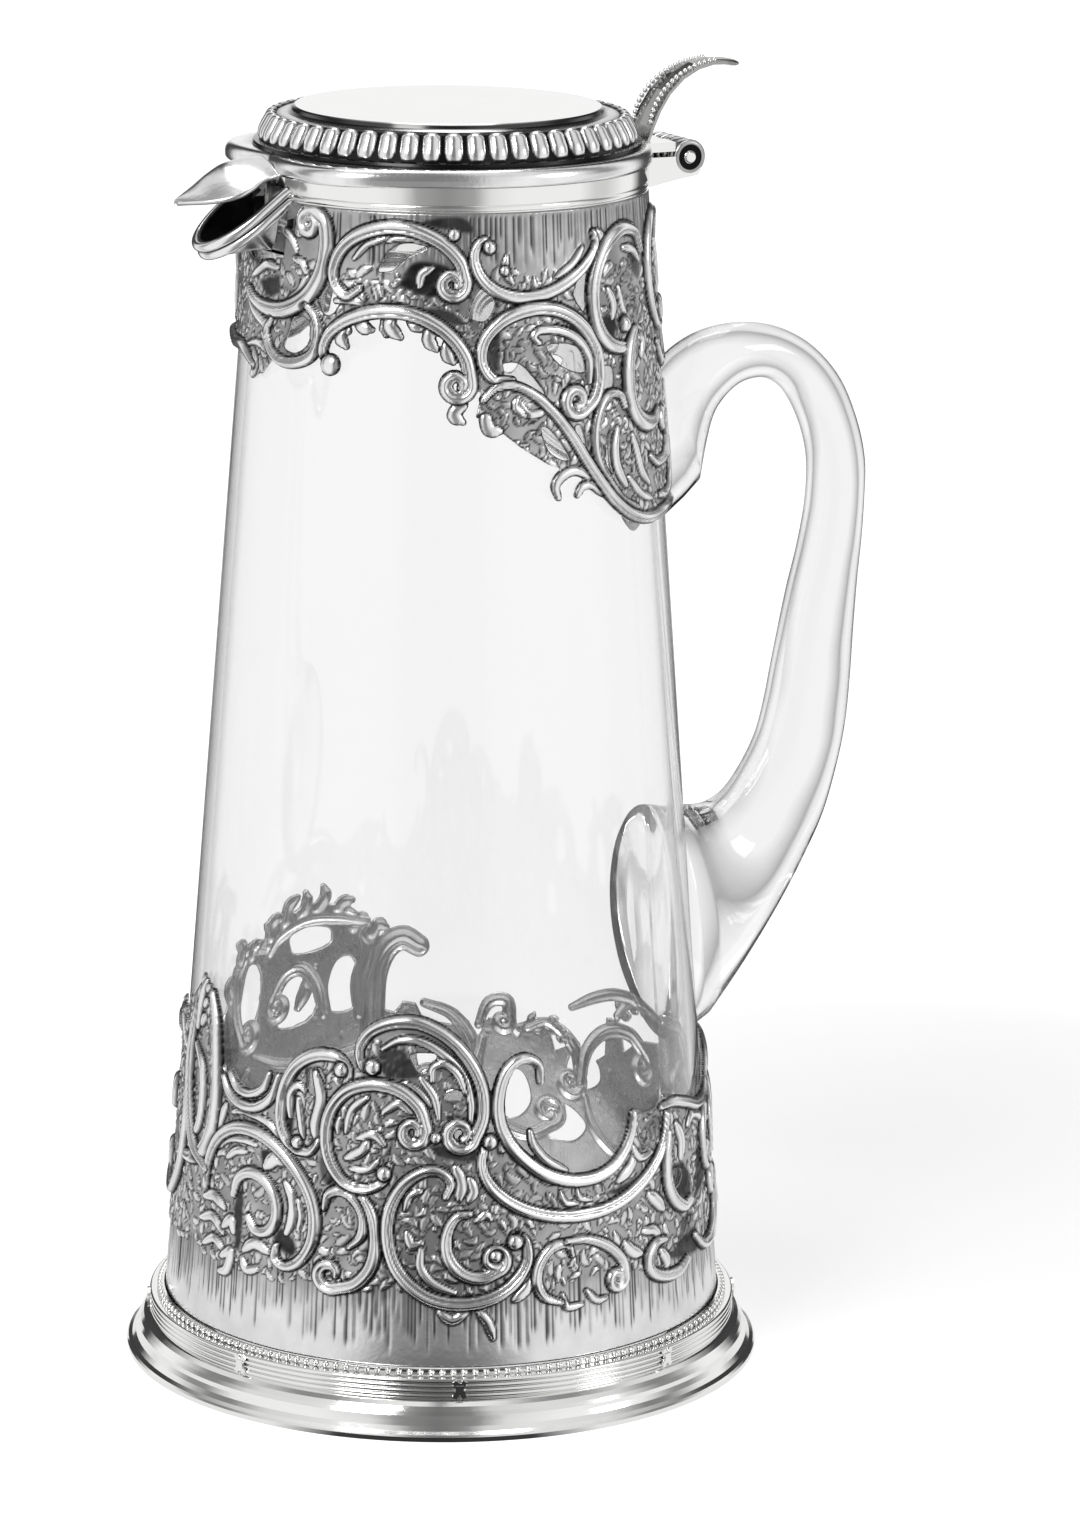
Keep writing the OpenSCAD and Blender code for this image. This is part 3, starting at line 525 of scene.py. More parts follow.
    def build(self, name, node):
        """Closed sheet: relief outside, smoother back, cut where the metal map ends."""
        metal = self.metal
        keep = metal > -0.45 * self.ds
        ring = np.zeros_like(keep)
        for dr in (-1, 0, 1):
            for dc in (-1, 0, 1):
                ring |= ~np.roll(np.roll(keep, dr, 0), dc, 1)
        gs = (np.roll(metal, -1, 1) - np.roll(metal, 1, 1)) / (2 * self.ds)
        gz = np.gradient(metal, self.dz, axis=0)
        g2 = np.maximum(gs ** 2 + gz ** 2, 0.25)
        move = np.where(keep & ring, np.clip(-metal, -0.8 * self.ds, 0.8 * self.ds), 0)
        psi = (self.s + move * gs / g2) / self.ref
        z = np.clip(self.z + move * gz / g2, self.low, self.low + (self.rows - 1) * self.dz)
        outer = cone_r(z) + MOUNT_GAP + MOUNT_T + self.high
        inner = cone_r(z) + MOUNT_GAP + 0.9 * np.clip(self.high - 0.4, 0, 2)
        nxt = np.roll(keep, -1, 1)
        cells = keep[:-1] & keep[1:] & nxt[:-1] & nxt[1:]
        used = np.zeros_like(keep)
        for dr, dc in ((0, 0), (1, 0), (0, 1), (1, 1)):
            block = np.zeros_like(keep)
            block[dr : dr + cells.shape[0]] = np.roll(cells, dc, 1)
            used |= block
        count = int(used.sum())
        index = np.full(keep.shape, -1)
        index[used] = np.arange(count)
        verts = np.vstack([np.stack([-r * np.cos(psi), -r * np.sin(psi), z], -1)[used]
                           for r in (outer, inner)])
        rows, cols = np.nonzero(cells)
        right = (cols + 1) % self.columns
        a, b = index[rows, cols], index[rows, right]
        c, d = index[rows + 1, right], index[rows + 1, cols]
        faces = [np.stack([a, b, c, d], 1), np.stack([a, d, c, b], 1) + count]
        up = np.zeros_like(keep)
        up[:-1] = cells
        below = np.zeros_like(keep)
        below[1:] = cells
        left = np.roll(up, 1, 1)
        for wall, p_off, q_off in (
            (up & ~below, (0, 0), (0, 1)),
            (below & ~up, (0, 1), (0, 0)),
            (up & ~left, (1, 0), (0, 0)),
            (left & ~up, (0, 0), (1, 0)),
        ):
            r, c = np.nonzero(wall)
            p = index[r + p_off[0], (c + p_off[1]) % self.columns]
            q = index[r + q_off[0], (c + q_off[1]) % self.columns]
            faces.append(np.stack([q, p, p + count, q + count], 1))
        # darkness: patina on the low ground and under the marks; the inner faces get painted
        # shade, partly patina, of at least self.inner and more under the front's marks
        level = self.ground * np.clip(1 - self.high / 0.45, 0, 1)
        dark = np.clip(np.maximum(self.dark, level), 0, 1)[used]
        new_piece(name, verts, np.vstack(faces), JUG, (node,),
                  np.concatenate([dark, self.inner * (1 + dark)]), slot="silver_chased")


# ---------------------------- skirt under the collar


def draw_skirt_near(m):
    """Scrollwork towards -Y, from the lip (s = 0) to the handle (s = 138)."""
    m.flip = 1
    m.sheet([(-1, 254), (-1, 216), (4, 217), (8, 221), (14, 220.5), (20, 224), (24, 230),
             (32, 234), (40, 234.5), (48, 231), (54, 226), (56, 216), (55, 212), (58, 210.5),
             (64, 205.5), (70, 201.5), (76, 199.5), (82, 194), (88, 190), (95, 187),
             (104, 186), (120, 185), (139, 185), (139, 254)])
    for hole in (
        [(20.5, 234), (24, 238.5), (26.5, 236), (24.5, 232), (22, 231.5)],
        [(9, 248.8), (13, 250.2), (16, 249), (14.5, 246.5), (11, 247)],
        [(-1, 241), (4, 242.3), (8, 243), (6, 240.5), (0, 239.5)],
        [(11, 223.5), (15, 222.8), (18.5, 225.5), (18, 230), (14, 230), (12.5, 227)],
        [(34.5, 241), (36.5, 245), (40, 247), (45, 246.5), (41, 244.5), (37.5, 241.5)],
        [(53.5, 232.5), (57, 231.5), (59, 235), (56.5, 238), (54.5, 235.5)],
        [(77, 236.5), (80, 232), (81, 239.5), (79, 239)],
        [(60.5, 222.5), (64, 222.5), (67.5, 219), (69.5, 215.8), (66, 216.8), (61.5, 219.5)],
        [(70, 225.6), (74.5, 226), (79, 224), (80, 220), (77, 220), (73, 222)],
        [(84.5, 220), (87.5, 219.5), (87.5, 215.5), (84.5, 215.8)],
        [(68.3, 209), (70.5, 208.6), (74.8, 202.6), (73, 202.3), (70, 204.5)],
        [(76.5, 208.5), (78, 208.5), (79, 204), (77.5, 203)],
        [(85, 206), (88, 206), (88.5, 199), (86, 198), (84.2, 201)],
    ):
        m.hole(hole)
    for patch, amount in (
        ([(26, 248), (50, 253), (54, 249), (38, 251)], 0.9),
        ([(39, 238), (42, 243.5), (49, 243), (51, 240), (46, 236)], 0.95),
        ([(28, 236), (36, 235), (50, 234), (52, 230), (40, 234), (30, 233)], 0.75),
        ([(1, 236), (9, 238), (9, 234), (4, 233)], 0.8),
        ([(56, 226), (60, 230), (60, 222), (58, 220)], 0.8),
        ([(84, 230), (89, 231), (89, 226), (86, 226)], 0.9),
        ([(95, 245), (100, 243), (100, 236), (95, 240)], 0.7),
        ([(53, 229), (60, 233), (60, 237), (54, 240)], 0.6),
        ([(60, 228), (72, 228), (72, 218), (62, 221)], 0.45),
        ([(57, 214), (66, 214), (74, 203), (70, 203), (60, 209)], 0.4),
        ([(90, 246), (98, 240), (97, 228), (90, 232)], 0.4),
    ):
        m.tint(patch, amount, 1.6)
    m.hatch(22, 84, 253.2, 240, 0.95)
    m.hatch(84, 136, 253.2, 243, 1.6)
    m.hatch(26, 52, 237, 231, 1.0, 0.7)
    for points, w in (
        ([(16.2, 241.8), (17, 239), (15.5, 235.5), (12, 233.4)], 0.9),
        ([(13, 242), (15.6, 241.5), (17, 239.5)], 0.8),
        ([(-3, 236.5), (1, 238.5), (4, 239.8), (8, 239.5)], 0.9),
        ([(-4, 231.5), (0, 229), (5, 227.5), (8, 228.5)], 1.0),
        ([(-4, 222), (1, 223.2), (5, 222.6), (9, 221), (14, 220.3), (19, 222)], 0.8),
        ([(0.5, 221), (1.5, 218.5), (0, 216.3)], 1.2),
        ([(4, 246), (8, 247.5), (12, 246), (14, 243.5)], 0.8),
        ([(27, 238.6), (29.5, 237.5), (31.5, 235.5)], 0.9),
        ([(25, 234.5), (28, 235.2), (31, 234.4)], 0.9),
        ([(35, 247.2), (40, 248.2), (46, 247)], 0.6),
        ([(29, 243.5), (32, 246.5), (36, 248)], 0.7),
        ([(43.4, 238.5), (43.8, 241), (46, 242.2)], 0.9),
        ([(61.7, 244.5), (61.4, 241.5), (63, 239)], 0.8),
        ([(73, 239.8), (77, 242), (80, 245.2)], 0.8),
        ([(83, 248.2), (86, 246.5), (88, 244)], 1.2),
        ([(93, 243.8), (97, 243), (100, 240.5)], 0.9),
        ([(87, 236), (88.5, 233), (88, 230)], 1.0),
        ([(90.5, 236), (91.5, 232), (93, 230)], 0.7),
        ([(96, 226), (99.5, 224), (98.5, 220.5)], 0.9),
        ([(64, 214.6), (65.5, 212.3), (68, 212.2), (70, 213)], 0.8),
        ([(65, 212), (63, 213.8), (63.5, 215.5)], 0.7),
        ([(82, 195.5), (79.5, 198.3), (76, 199.8), (73, 199), (71.4, 197), (72, 194.6)], 0.95),
        ([(83, 194), (80, 196.4), (77.6, 196.2), (76.4, 194.6)], 0.8),
        ([(88, 207), (87, 203), (87.5, 199), (90, 195)], 1.1),
        ([(93, 205), (94.5, 201), (96, 197), (99, 194)], 1.0),
        ([(91, 196.5), (95, 192.5), (100, 190.5)], 0.8),
    ):
        m.rib(spline(points), w=w, h=0.75)
    for i in range(3):
        m.rib(spline([(27.5 + 8.6 * i, 231 - 1.3 * (i != 1)), (28 + 8.7 * i, 228.6)]), w=1.3,
              h=0.7)
    m.rib(curl([(-4, 233.5), (0, 231.6), (6, 230.8), (12, 231.6), (17.5, 234.6), (21, 239.5),
                (22.2, 245), (21.5, 250), (18.5, 252)], 2.4, 1), w=1.75, h=1.5, groove=0.55)
    m.rib(spline([(17.5, 232.8), (20.3, 230.5), (21.2, 226.5), (19.5, 222.8), (15, 220.8),
                  (10, 221), (6.5, 223.4), (5.5, 226.5), (7, 228.6)]), w=1.15, h=1.2,
          groove=0.4)
    m.rib(curl([(30.5, 237.5), (27.5, 235.8), (25, 237.6), (24.2, 241), (26, 245.2),
                (30, 248.4), (36, 250.2), (42, 249.9), (48, 247.4), (51.8, 243.6),
                (53, 239.8)], 2.9, -1), w=1.45, h=1.5, groove=0.6)
    for tooth in (
        [(26.6, 230.2), (26.2, 227.4), (27.8, 225.4)],
        [(30.6, 232.2), (31.2, 229.8), (33.4, 229.2)],
        [(37.4, 233), (37.4, 230), (39.6, 228)],
        [(41.8, 232.6), (42.6, 230.6), (44.6, 230.4)],
        [(46.6, 230.8), (45.4, 227.8), (47, 225.8)],
        [(50, 227.8), (49.2, 225), (50.4, 223.2)],
        [(52, 214.6), (50.6, 212.4), (52.4, 211)],
        [(57, 211.6), (57.6, 209.4), (60, 209)],
    ):
        m.rib(spline(tooth), w=1.25, h=0.7, ends=(1, 0.4))
    m.rib(curl([(23.2, 221.6), (22.4, 224.4), (24, 228), (28, 231), (33.5, 232.9),
                (39.5, 233.2), (45, 231.8), (49.8, 228.6), (53, 224), (54, 219)], 2.9, -1),
          w=1.45, h=1.5, groove=0.6)
    m.ball(24.2, 221.4, 2.1, 1.2)
    m.rib(spline([(58.3, 246.2), (57.2, 247.8), (55.3, 246.8), (54.8, 243.6), (56.4, 240),
                  (60, 237.2), (65, 236), (70.5, 236.6), (76, 238.8), (80.5, 241.8),
                  (83.5, 245.4), (83, 248)]), w=1.25, h=1.4, groove=0.45)
    m.ball(58, 246.4, 1.4, 1.3)
    m.ball(50.5, 249, 1.3, 1.1)
    m.ball(61.2, 241.6, 1.0, 0.9)
    m.rib(curl([(62.5, 219.2), (58.4, 219.8), (56.2, 223.4), (57, 228), (61, 231.8),
                (67, 233.6), (73, 233), (78.5, 229.8), (82.2, 224.8), (83, 219),
                (81.6, 214.4), (78.5, 211.8)], 3.0, -1), w=1.4, h=1.5, groove=0.55)
    m.rib(spline([(68.6, 226.6), (67.2, 228), (69, 229.2), (73.5, 228.8), (77.8, 226.6),
                  (80.4, 222.6), (80.4, 217.6)]), w=0.95, h=1.1)
    m.rib(spline([(100.5, 242.5), (98.5, 246.4), (93, 247.8), (87.5, 245.6), (83.6, 240.6),
                  (82.2, 234.6), (83.4, 228.6), (87, 224.6), (92.5, 223.4), (97, 225)]),
          w=1.6, h=1.5, groove=0.5)
    m.ball(92, 228.2, 1.7, 1.6)
    m.rib(spline([(96, 226.5), (93.6, 223), (92.4, 217.5), (93.2, 211.5), (96.6, 207.6),
                  (102, 206.2), (106.5, 208)]), w=1.9, h=1.5, groove=0.4)
    m.rib(spline([(90.8, 211.2), (89.4, 213.8), (86.2, 214.4), (83.2, 212.2), (81.4, 207),
                  (82, 201.4), (85, 195.8), (88.6, 192), (93.5, 189.8)]), w=1.1, h=1.3,
          groove=0.4)
    m.rib(spline([(56.5, 215.5), (59, 217.8), (63, 218.2), (67.5, 215.8), (71.5, 212),
                  (75.4, 207), (79, 201.4), (82.8, 196.2), (86.6, 192), (91.6, 188.6),
                  (98, 186.9), (106, 187), (115, 187.2), (126, 186.4), (139, 186)]),
          w=1.2, h=1.3, groove=0.5)
    m.rib(curl([(100, 199.5), (104, 197.5), (109, 197.8), (112.4, 201.2), (112, 206)], 2.2, 1),
          w=1.3, h=1.3, groove=0.4)
    m.rib(curl([(104, 190.5), (110, 190), (115.5, 192.5), (118, 197.5)], 2.4, 1), w=1.2,
          h=1.2)
    m.rib(spline([(122, 242), (118.5, 247.4), (112.5, 248.8), (107, 245.6), (104.6, 239),
                  (106, 231), (110.4, 226), (116, 225.4), (119.4, 228.8)]), w=1.5, h=1.4,
          groove=0.5)
    m.rib(curl([(109, 222), (113.4, 217.6), (119, 217), (122.8, 221.4), (122.4, 227.6)],
               2.4, 1), w=1.4, h=1.4, groove=0.4)
    m.leaf([(112, 243), (113.5, 237), (113, 231)], w=1.8, lobes=3)
    m.leaf([(119, 212), (119.5, 205), (121, 198)], w=1.8, lobes=3)


def draw_skirt_far(m):
    """Scrollwork towards +Y, of the same kind; s counts from the lip the other way round."""
    m.flip = -1
    m.sheet([(-1, 254), (-1, 217), (6, 220), (13, 219.8), (20, 221), (26, 218.6),
             (34, 216.6), (44, 216), (52, 217), (57, 219.5), (59.5, 224), (65, 228),
             (71, 229.4), (79, 229.4), (86, 227.2), (90.6, 222), (92.4, 214), (96, 205),
             (101, 199.6), (107, 194), (113, 189.8), (120, 187.4), (139, 186), (139, 254)])
    for hole in (
        [(9, 248.8), (13, 250.2), (16, 249), (14.5, 246.5), (11, 247)],
        [(-1, 241), (4, 242.3), (8, 243), (6, 240.5), (0, 239.5)],
        [(12, 226), (16, 224.8), (19.5, 228), (18.6, 233), (14, 232.4)],
        [(34, 229), (38, 226), (44, 226.6), (46.6, 230.6), (42, 235.6), (36, 234.6)],
        [(55, 237), (58, 234), (60, 237), (58, 241.6)],
        [(70, 240), (76, 238.4), (80, 241), (78, 245), (71, 244.6)],
        [(84, 235), (88, 233.6), (88.6, 237.6), (86, 239.4)],
        [(98, 236), (101, 234), (103, 238.6), (100, 241)],
        [(103, 218), (107, 217), (108.4, 220.4), (105, 221.6)],
        [(99, 209), (103, 206.4), (105.4, 209.4), (102, 212)],
        [(112, 206), (116, 205), (117, 210), (113.4, 211)],
    ):
        m.hole(hole)
    m.hatch(22, 136, 253.2, 243, 1.3)
    for radius, side, w, points in (
        (2.9, -1, 1.4, [(31, 222), (26.4, 227), (26, 234), (30.4, 239.4), (38, 241.6),
                        (46, 240), (52, 235), (53.4, 228.6)]),
        (2.9, -1, 1.4, [(59.6, 221.6), (61, 227), (66, 231.2), (75, 232.4), (84, 230.8),
                        (90.2, 226), (92.2, 219.6)]),
        (2.9, -1, 1.4, [(66, 237.4), (61.6, 239.4), (62, 244.6), (67, 248.4), (75, 249.8),
                        (84, 247.6), (88.6, 241.4)]),
        (3.0, -1, 1.4, [(98, 213.6), (95.2, 218), (97.8, 223), (104, 225), (110.6, 222.4),
                        (114.2, 216)]),
        (2.2, 1, 1.3, [(104, 203.4), (109, 199.4), (115.4, 199.8), (117.8, 205)]),
    ):
        m.rib(curl(points, radius, side), w=w, h=1.5, groove=0.5)
    for points in (
        [(28, 244), (33, 248), (41, 249.6), (49, 248), (55, 243.6)],
        [(103.6, 243), (99.6, 246.6), (94.4, 245), (91.6, 239.6), (91.8, 233), (96, 228.4),
         (101, 228)],
        [(94.4, 208), (99, 204), (104, 198.8), (110, 193.4), (117, 189.6), (126, 188.4),
         (139, 187.6)],
        [(122, 242), (117, 248), (109, 246.6), (105, 239), (106.2, 232), (112, 228),
         (119, 229.4)],
        [(-1, 218.4), (6, 221.4), (13, 221.4), (20, 222.6), (26, 220.4)],
        [(32, 219), (38, 218), (45, 217.6), (52, 218.8), (57, 221.6)],
        [(17, 236), (20.6, 240), (21.4, 246), (17.6, 250.4), (11, 251)],
    ):
        m.rib(spline(points), w=1.3, h=1.4, groove=0.4)
    m.leaf([(37, 237), (41, 232), (43, 228)], w=1.6, lobes=3)
    m.leaf([(72, 235), (77, 238), (80, 243)], w=1.6, lobes=3)
    m.leaf([(119, 212), (119.5, 205), (121, 198)], w=1.8, lobes=3)


def make_skirt(step):
    """Skirt, with a hole for the handle's upper root and a notch behind the lip."""
    m = Relief(SKIRT_REF, *SKIRT_SPAN, step, SKIRT_INNER)
    m.matting(2.3, 186, 243)
    draw_skirt_near(m)
    draw_skirt_far(m)
    half = SKIRT_REF * math.pi
    high, wide = ROOT_HOLE
    root = (np.hypot((m.s - half) / wide, (m.z - ROOT[0]) / high) - 1) * wide
    from_lip = np.abs(np.where(m.s > half, m.s - 2 * half, m.s))
    notch = np.maximum(from_lip - NOTCH_HALF, NOTCH_LOW - m.z)
    m.metal = np.minimum(np.minimum(m.metal, root), notch)
    m.metal[-1] = np.maximum(m.metal[-1], 0.0)
    m.build("chased_skirt", "collar_skirt")


# ---------------------------- sleeve round the base


def draw_sleeve_near(m):
    """Scrollwork on the side towards -Y, from the lip (s = 0) to the handle (s = 182)."""
    m.flip = 1
    m.sheet([(-12, 13), (-12, 80), (-5, 86), (1, 86), (5, 80), (8, 71), (11, 66), (17, 64.5),
             (24, 66), (27, 71), (32, 76), (38, 77.5), (45, 76), (47.5, 83), (54, 86.5),
             (60, 86.5), (67, 83), (72.5, 76), (74, 69), (75, 63), (79, 61.5), (83, 57),
             (89, 53), (97, 51), (104, 52.5), (109.5, 58.5), (113, 62), (122, 62),
             (131, 60.5), (142, 58.5), (152, 61), (164, 66), (175, 66), (183, 64),
             (183, 13)])
    for hole in (
        [(57.5, 79.4), (60, 80.2), (63.4, 79.8), (61.8, 77), (59.6, 76)],
        [(65.4, 62.4), (69.2, 62.6), (70.2, 66), (67, 67), (65.2, 65)],
        [(65, 70.6), (68.5, 70.4), (69, 72), (66, 72.6)],
        [(34, 70.4), (36.8, 69), (38.6, 72.4), (37, 75.2), (34, 74)],
        [(112.2, 57.6), (113.6, 55.2), (116.2, 55.8), (115, 58.8)],
        [(123.5, 43), (127, 43.5), (128.6, 46), (124.4, 47.6)],
        [(124, 31.5), (128, 32), (131, 36), (126.5, 35.5)],
        [(144, 44), (148, 43), (150, 47), (146, 49)],
    ):
        m.hole(hole)
    for patch, amount in (
        ([(-8, 52), (-8, 72), (2, 74), (3, 56)], 0.35),
        ([(8, 56), (12, 64), (26, 62), (22, 60)], 0.5),
        ([(15, 41), (18, 47), (18, 34), (16, 33)], 0.85),
        ([(27, 36), (29, 40), (33, 37), (32, 34)], 0.9),
        ([(22, 55), (25, 56), (25, 52), (23, 52)], 0.95),
        ([(28, 58), (28, 72), (31, 70), (31, 60)], 0.85),
        ([(50, 80), (56, 81), (60, 75), (52, 75)], 0.8),
        ([(50, 72), (60, 74), (64, 84), (72, 70), (66, 75)], 0.45),
        ([(62, 61), (72, 60), (72, 57), (64, 58)], 0.8),
        ([(38, 52), (38, 57), (46, 50), (42, 49)], 0.7),
        ([(76, 60), (82, 57), (90, 52), (103, 51), (103, 46), (88, 46), (77, 52)], 0.35),
        ([(100, 47), (112, 50), (118, 55), (116, 52), (108, 46.5)], 0.85),
        ([(110, 52), (121, 60), (114, 60)], 0.6),
        ([(122, 48), (129, 48), (132, 40), (124, 42)], 0.85),
        ([(120, 30), (132, 33), (134, 27), (122, 28)], 0.8),
        ([(133, 38), (142, 42), (144, 50), (136, 48)], 0.8),
        ([(66, 44), (77, 45), (77, 35), (69, 35)], 0.2),
    ):
        m.tint(patch, amount, 1.5)
    m.hatch(-10, 183, 32, 15.5, 0.95, 0.7)
    m.hatch(36, 56, 33, 22, 1.0, 0.6)
    for points, w in (
        ([(10.4, 62.4), (8.4, 58.5), (6.4, 54)], 1.3),
        ([(13, 61.5), (17, 62.5), (24, 61.5), (28, 58.5)], 0.8),
        ([(9, 53), (12, 55.4), (17, 56.4), (21, 56)], 0.8),
        ([(12, 51.5), (15, 53.6), (18, 54)], 0.9),
        ([(4, 41), (8, 42), (12, 40.5)], 1.2),
        ([(3, 36), (8, 37.5), (12, 35)], 1.1),
        ([(12, 36.5), (14.5, 38.5), (15.4, 36)], 1.2),
        ([(5, 31), (9, 33), (13, 31)], 1.0),
        ([(12, 30), (15, 31.5), (14, 27.5), (11.5, 26.5)], 1.2),
        ([(19, 33), (22, 35), (26, 34)], 1.2),
        ([(18.5, 31), (20, 29), (23, 29.5)], 1.0),
        ([(24, 52), (27, 54.5), (30, 54)], 1.6),
        ([(29.6, 49.6), (31.6, 46.4), (31.6, 42), (30.4, 39)], 1.2),
        ([(33, 46.5), (34, 43.5), (33.4, 40)], 0.7),
        ([(36, 74), (37.6, 69), (36.4, 63), (37, 60)], 1.3),
        ([(32, 68), (33, 63), (33.6, 60)], 0.9),
        ([(43.8, 62.6), (45, 67.4), (48.4, 70.2)], 0.9),
        ([(44, 57), (47.6, 59), (48.6, 62)], 1.1),
        ([(46.5, 61.5), (50, 62.5), (52.4, 60.5)], 0.9),
        ([(45, 54.8), (49, 55), (51, 57)], 0.8),
        ([(52, 67.4), (55.4, 69.4), (58, 67.6)], 0.9),
        ([(55, 74), (59, 72.4), (62.4, 69)], 0.8),
        ([(60, 75), (63, 71), (64, 66.4)], 0.8),
        ([(67.6, 56), (68.8, 52.6), (68.4, 49.6)], 1.3),
        ([(70.6, 53.6), (71.6, 51), (70.4, 49)], 1.0),
        ([(72, 44.6), (74, 46), (75, 44.8)], 0.8),
        ([(57.4, 42), (58.6, 39.4), (60.6, 40)], 1.0),
        ([(60.4, 38.6), (60.4, 34.8), (63, 31.4), (67.4, 29.4)], 0.95),
        ([(57, 47), (58, 50), (60.4, 51)], 0.8),
        ([(64.4, 25.4), (67, 23.6), (70, 25.4)], 1.0),
        ([(72.4, 25.4), (74.4, 22.8), (75.4, 19.6)], 1.0),
        ([(80, 27.4), (82.4, 29.4), (83.4, 31)], 1.2),
        ([(75.4, 62.4), (77.4, 61.6), (77.6, 59.6)], 1.4),
        ([(90.4, 49.4), (91.6, 47), (94.6, 46.4)], 0.7),
        ([(94.4, 49.4), (95, 47.6), (98, 46.6)], 0.7),
        ([(105.4, 49.4), (108.6, 51.4), (111, 54.4)], 1.3),
        ([(109.4, 56.4), (112, 53), (116, 53.4)], 0.8),
        ([(114.4, 44.4), (117, 42.4), (119, 40.4)], 1.5),
        ([(106.4, 35.6), (108.6, 33.4), (111, 32.4)], 1.3),
        ([(112, 37), (115.6, 36.4), (117.4, 33.8)], 1.1),
        ([(117.6, 31.4), (119.4, 29), (119.4, 27.4)], 1.3),
        ([(90.4, 27.4), (91.4, 24.6), (95, 24.6)], 0.8),
        ([(96, 27.4), (98.4, 25), (101, 25)], 0.8),
        ([(126, 57), (128, 53.4), (127.4, 49.4)], 1.5),
        ([(131.4, 55.4), (134.6, 57), (139, 55.6), (142, 52.4)], 1.1),
    ):
        m.rib(spline(points), w=w, h=0.8)
    m.rib(spline([(2, 84.5), (4.6, 79), (6, 71), (6.6, 63), (5.4, 55.6), (1.6, 50),
                  (-4, 47.4), (-10, 47)]), w=1.8, h=1.6, groove=0.4)
    m.leaf([(-5, 76), (-4, 81), (-2, 86.5)], w=2.2, lobes=3, reach=3.4)
    m.rib(spline([(-5, 52), (-1, 55), (0.4, 61), (-0.6, 68), (-5, 72)]), w=1.2, h=1.1)
    m.rib(spline([(9, 68.4), (11.6, 65.4), (16, 63.8), (21, 64.4), (25, 67.4), (26.6, 72)]),
          w=1.1, h=1.3)
    m.rib(spline([(11.4, 69.6), (14.4, 67), (18.4, 66.6), (22.4, 68.6), (24, 72)]), w=0.9,
          h=1.2)
    m.rib(spline([(43.4, 72.4), (44, 75.6), (41.2, 78.2), (36, 78), (31.4, 75.2), (28.6, 70.6),
                  (27.6, 65), (28.6, 60.4), (31.6, 57.6), (35.2, 57.2), (37.4, 59.6)]),
          w=1.35, h=1.5, groove=0.5)
    m.ball(42.2, 75.6, 1.6, 1.5)
    m.ball(32.2, 58.8, 1.4, 1.3)
    m.rib(spline([(30.2, 64), (30, 68.6), (31.8, 71), (33.6, 70)]), w=0.9, h=1.1)
    m.rib(spline([(19.8, 40.4), (22, 38), (25.4, 38.4), (27.6, 41.4), (27.4, 45.6),
                  (24.4, 49), (20, 50), (16.4, 48), (15, 44)]), w=1.3, h=1.4, groove=0.3)
    m.rib(spline([(4.6, 43.4), (5.6, 50), (9, 55.2), (14.4, 58.4), (20.6, 59), (26.6, 57.2),
                  (31.6, 53.6), (35.4, 49), (37.2, 43.8), (36.8, 38.2), (34.2, 33.8),
                  (30.6, 31.8), (27.8, 33), (28, 35.6)]), w=1.4, h=1.6, groove=0.5)
    m.rib(spline([(39.4, 45.8), (40.2, 48.8), (43, 50), (46.2, 48.4), (48.2, 44.8),
                  (47.8, 40.8), (45.2, 38.2)]), w=1.15, h=1.3, groove=0.4)
    m.rib(curl([(46.8, 50.6), (49.8, 46), (51, 40), (50, 34.4), (46.8, 30.4), (42, 28.8)],
               3.2, -1, 0.85), w=1.35, h=1.5, groove=0.45)
    m.rib(curl([(53.4, 56), (52.4, 52.8), (48.4, 50.8), (43.6, 52), (40.2, 56.4), (39.2, 62),
                (40.4, 67.2), (44, 71.4), (49.6, 73.2), (55.6, 72.2), (59.8, 68.8),
                (61.4, 64.4)], 3.0, -1), w=1.4, h=1.6, groove=0.5)
    m.ball(52.4, 54.4, 1.6, 1.5)
    m.rib(spline([(51.6, 80.8), (55.4, 82.8), (60.4, 82.6), (65.4, 79.8), (69.2, 75.2),
                  (71, 70), (70.8, 65.4)]), w=0.95, h=1.2)
    m.rib(spline([(62.6, 74.4), (62.6, 77.2), (65.2, 78), (68, 75.8), (69.6, 72)]), w=0.8,
          h=1.1)
    m.rib(curl([(50.4, 76.2), (47.4, 76.6), (46.4, 80.4), (48.8, 84.2), (53.6, 86.4),
                (59.4, 86.6), (65.4, 84), (70.2, 79.2), (73.2, 73.2), (73.6, 67),
                (71.6, 61.8)], 3.4, -1), w=1.4, h=1.6, groove=0.6)
    m.ball(49.4, 76.8, 1.7, 1.5)
    m.ball(63.4, 62.4, 1.2, 1.3)
    m.rib(spline([(83.8, 63), (84.6, 60), (87.6, 56.4), (92, 53.8)]), w=0.9, h=1.1)
    m.rib(spline([(86.4, 73.4), (86, 77), (82.6, 78.6), (79, 76.6), (77, 71.6), (77, 66),
                  (79, 61.2), (82.6, 57), (87.2, 53.6), (92.6, 51.6), (98.4, 51.2),
                  (103.4, 52.6), (107.2, 55.6), (109.6, 59.4), (110.4, 63)]), w=1.35, h=1.6,
          groove=0.3)
    m.rib(spline([(75.6, 62), (73.8, 60), (73.2, 56.4), (74.8, 52.4), (78.4, 48.8),
                  (83.6, 46), (90.4, 44.2), (98, 43.8), (105, 44.9), (111.2, 47.4),
                  (116.4, 50.8), (120.2, 55.2), (122, 61)]), w=1.35, h=1.6, groove=0.5)
    m.ball(75, 61.4, 1.6, 1.5)
    m.rib(curl([(70.6, 46.2), (67.6, 45.4), (65.8, 41.8), (66, 37.4), (68.6, 33.8),
                (72.8, 32.4), (77, 34)], 2.4, 1), w=1.35, h=1.5, groove=0.4)
    m.ball(76, 37, 1.3, 1.4)
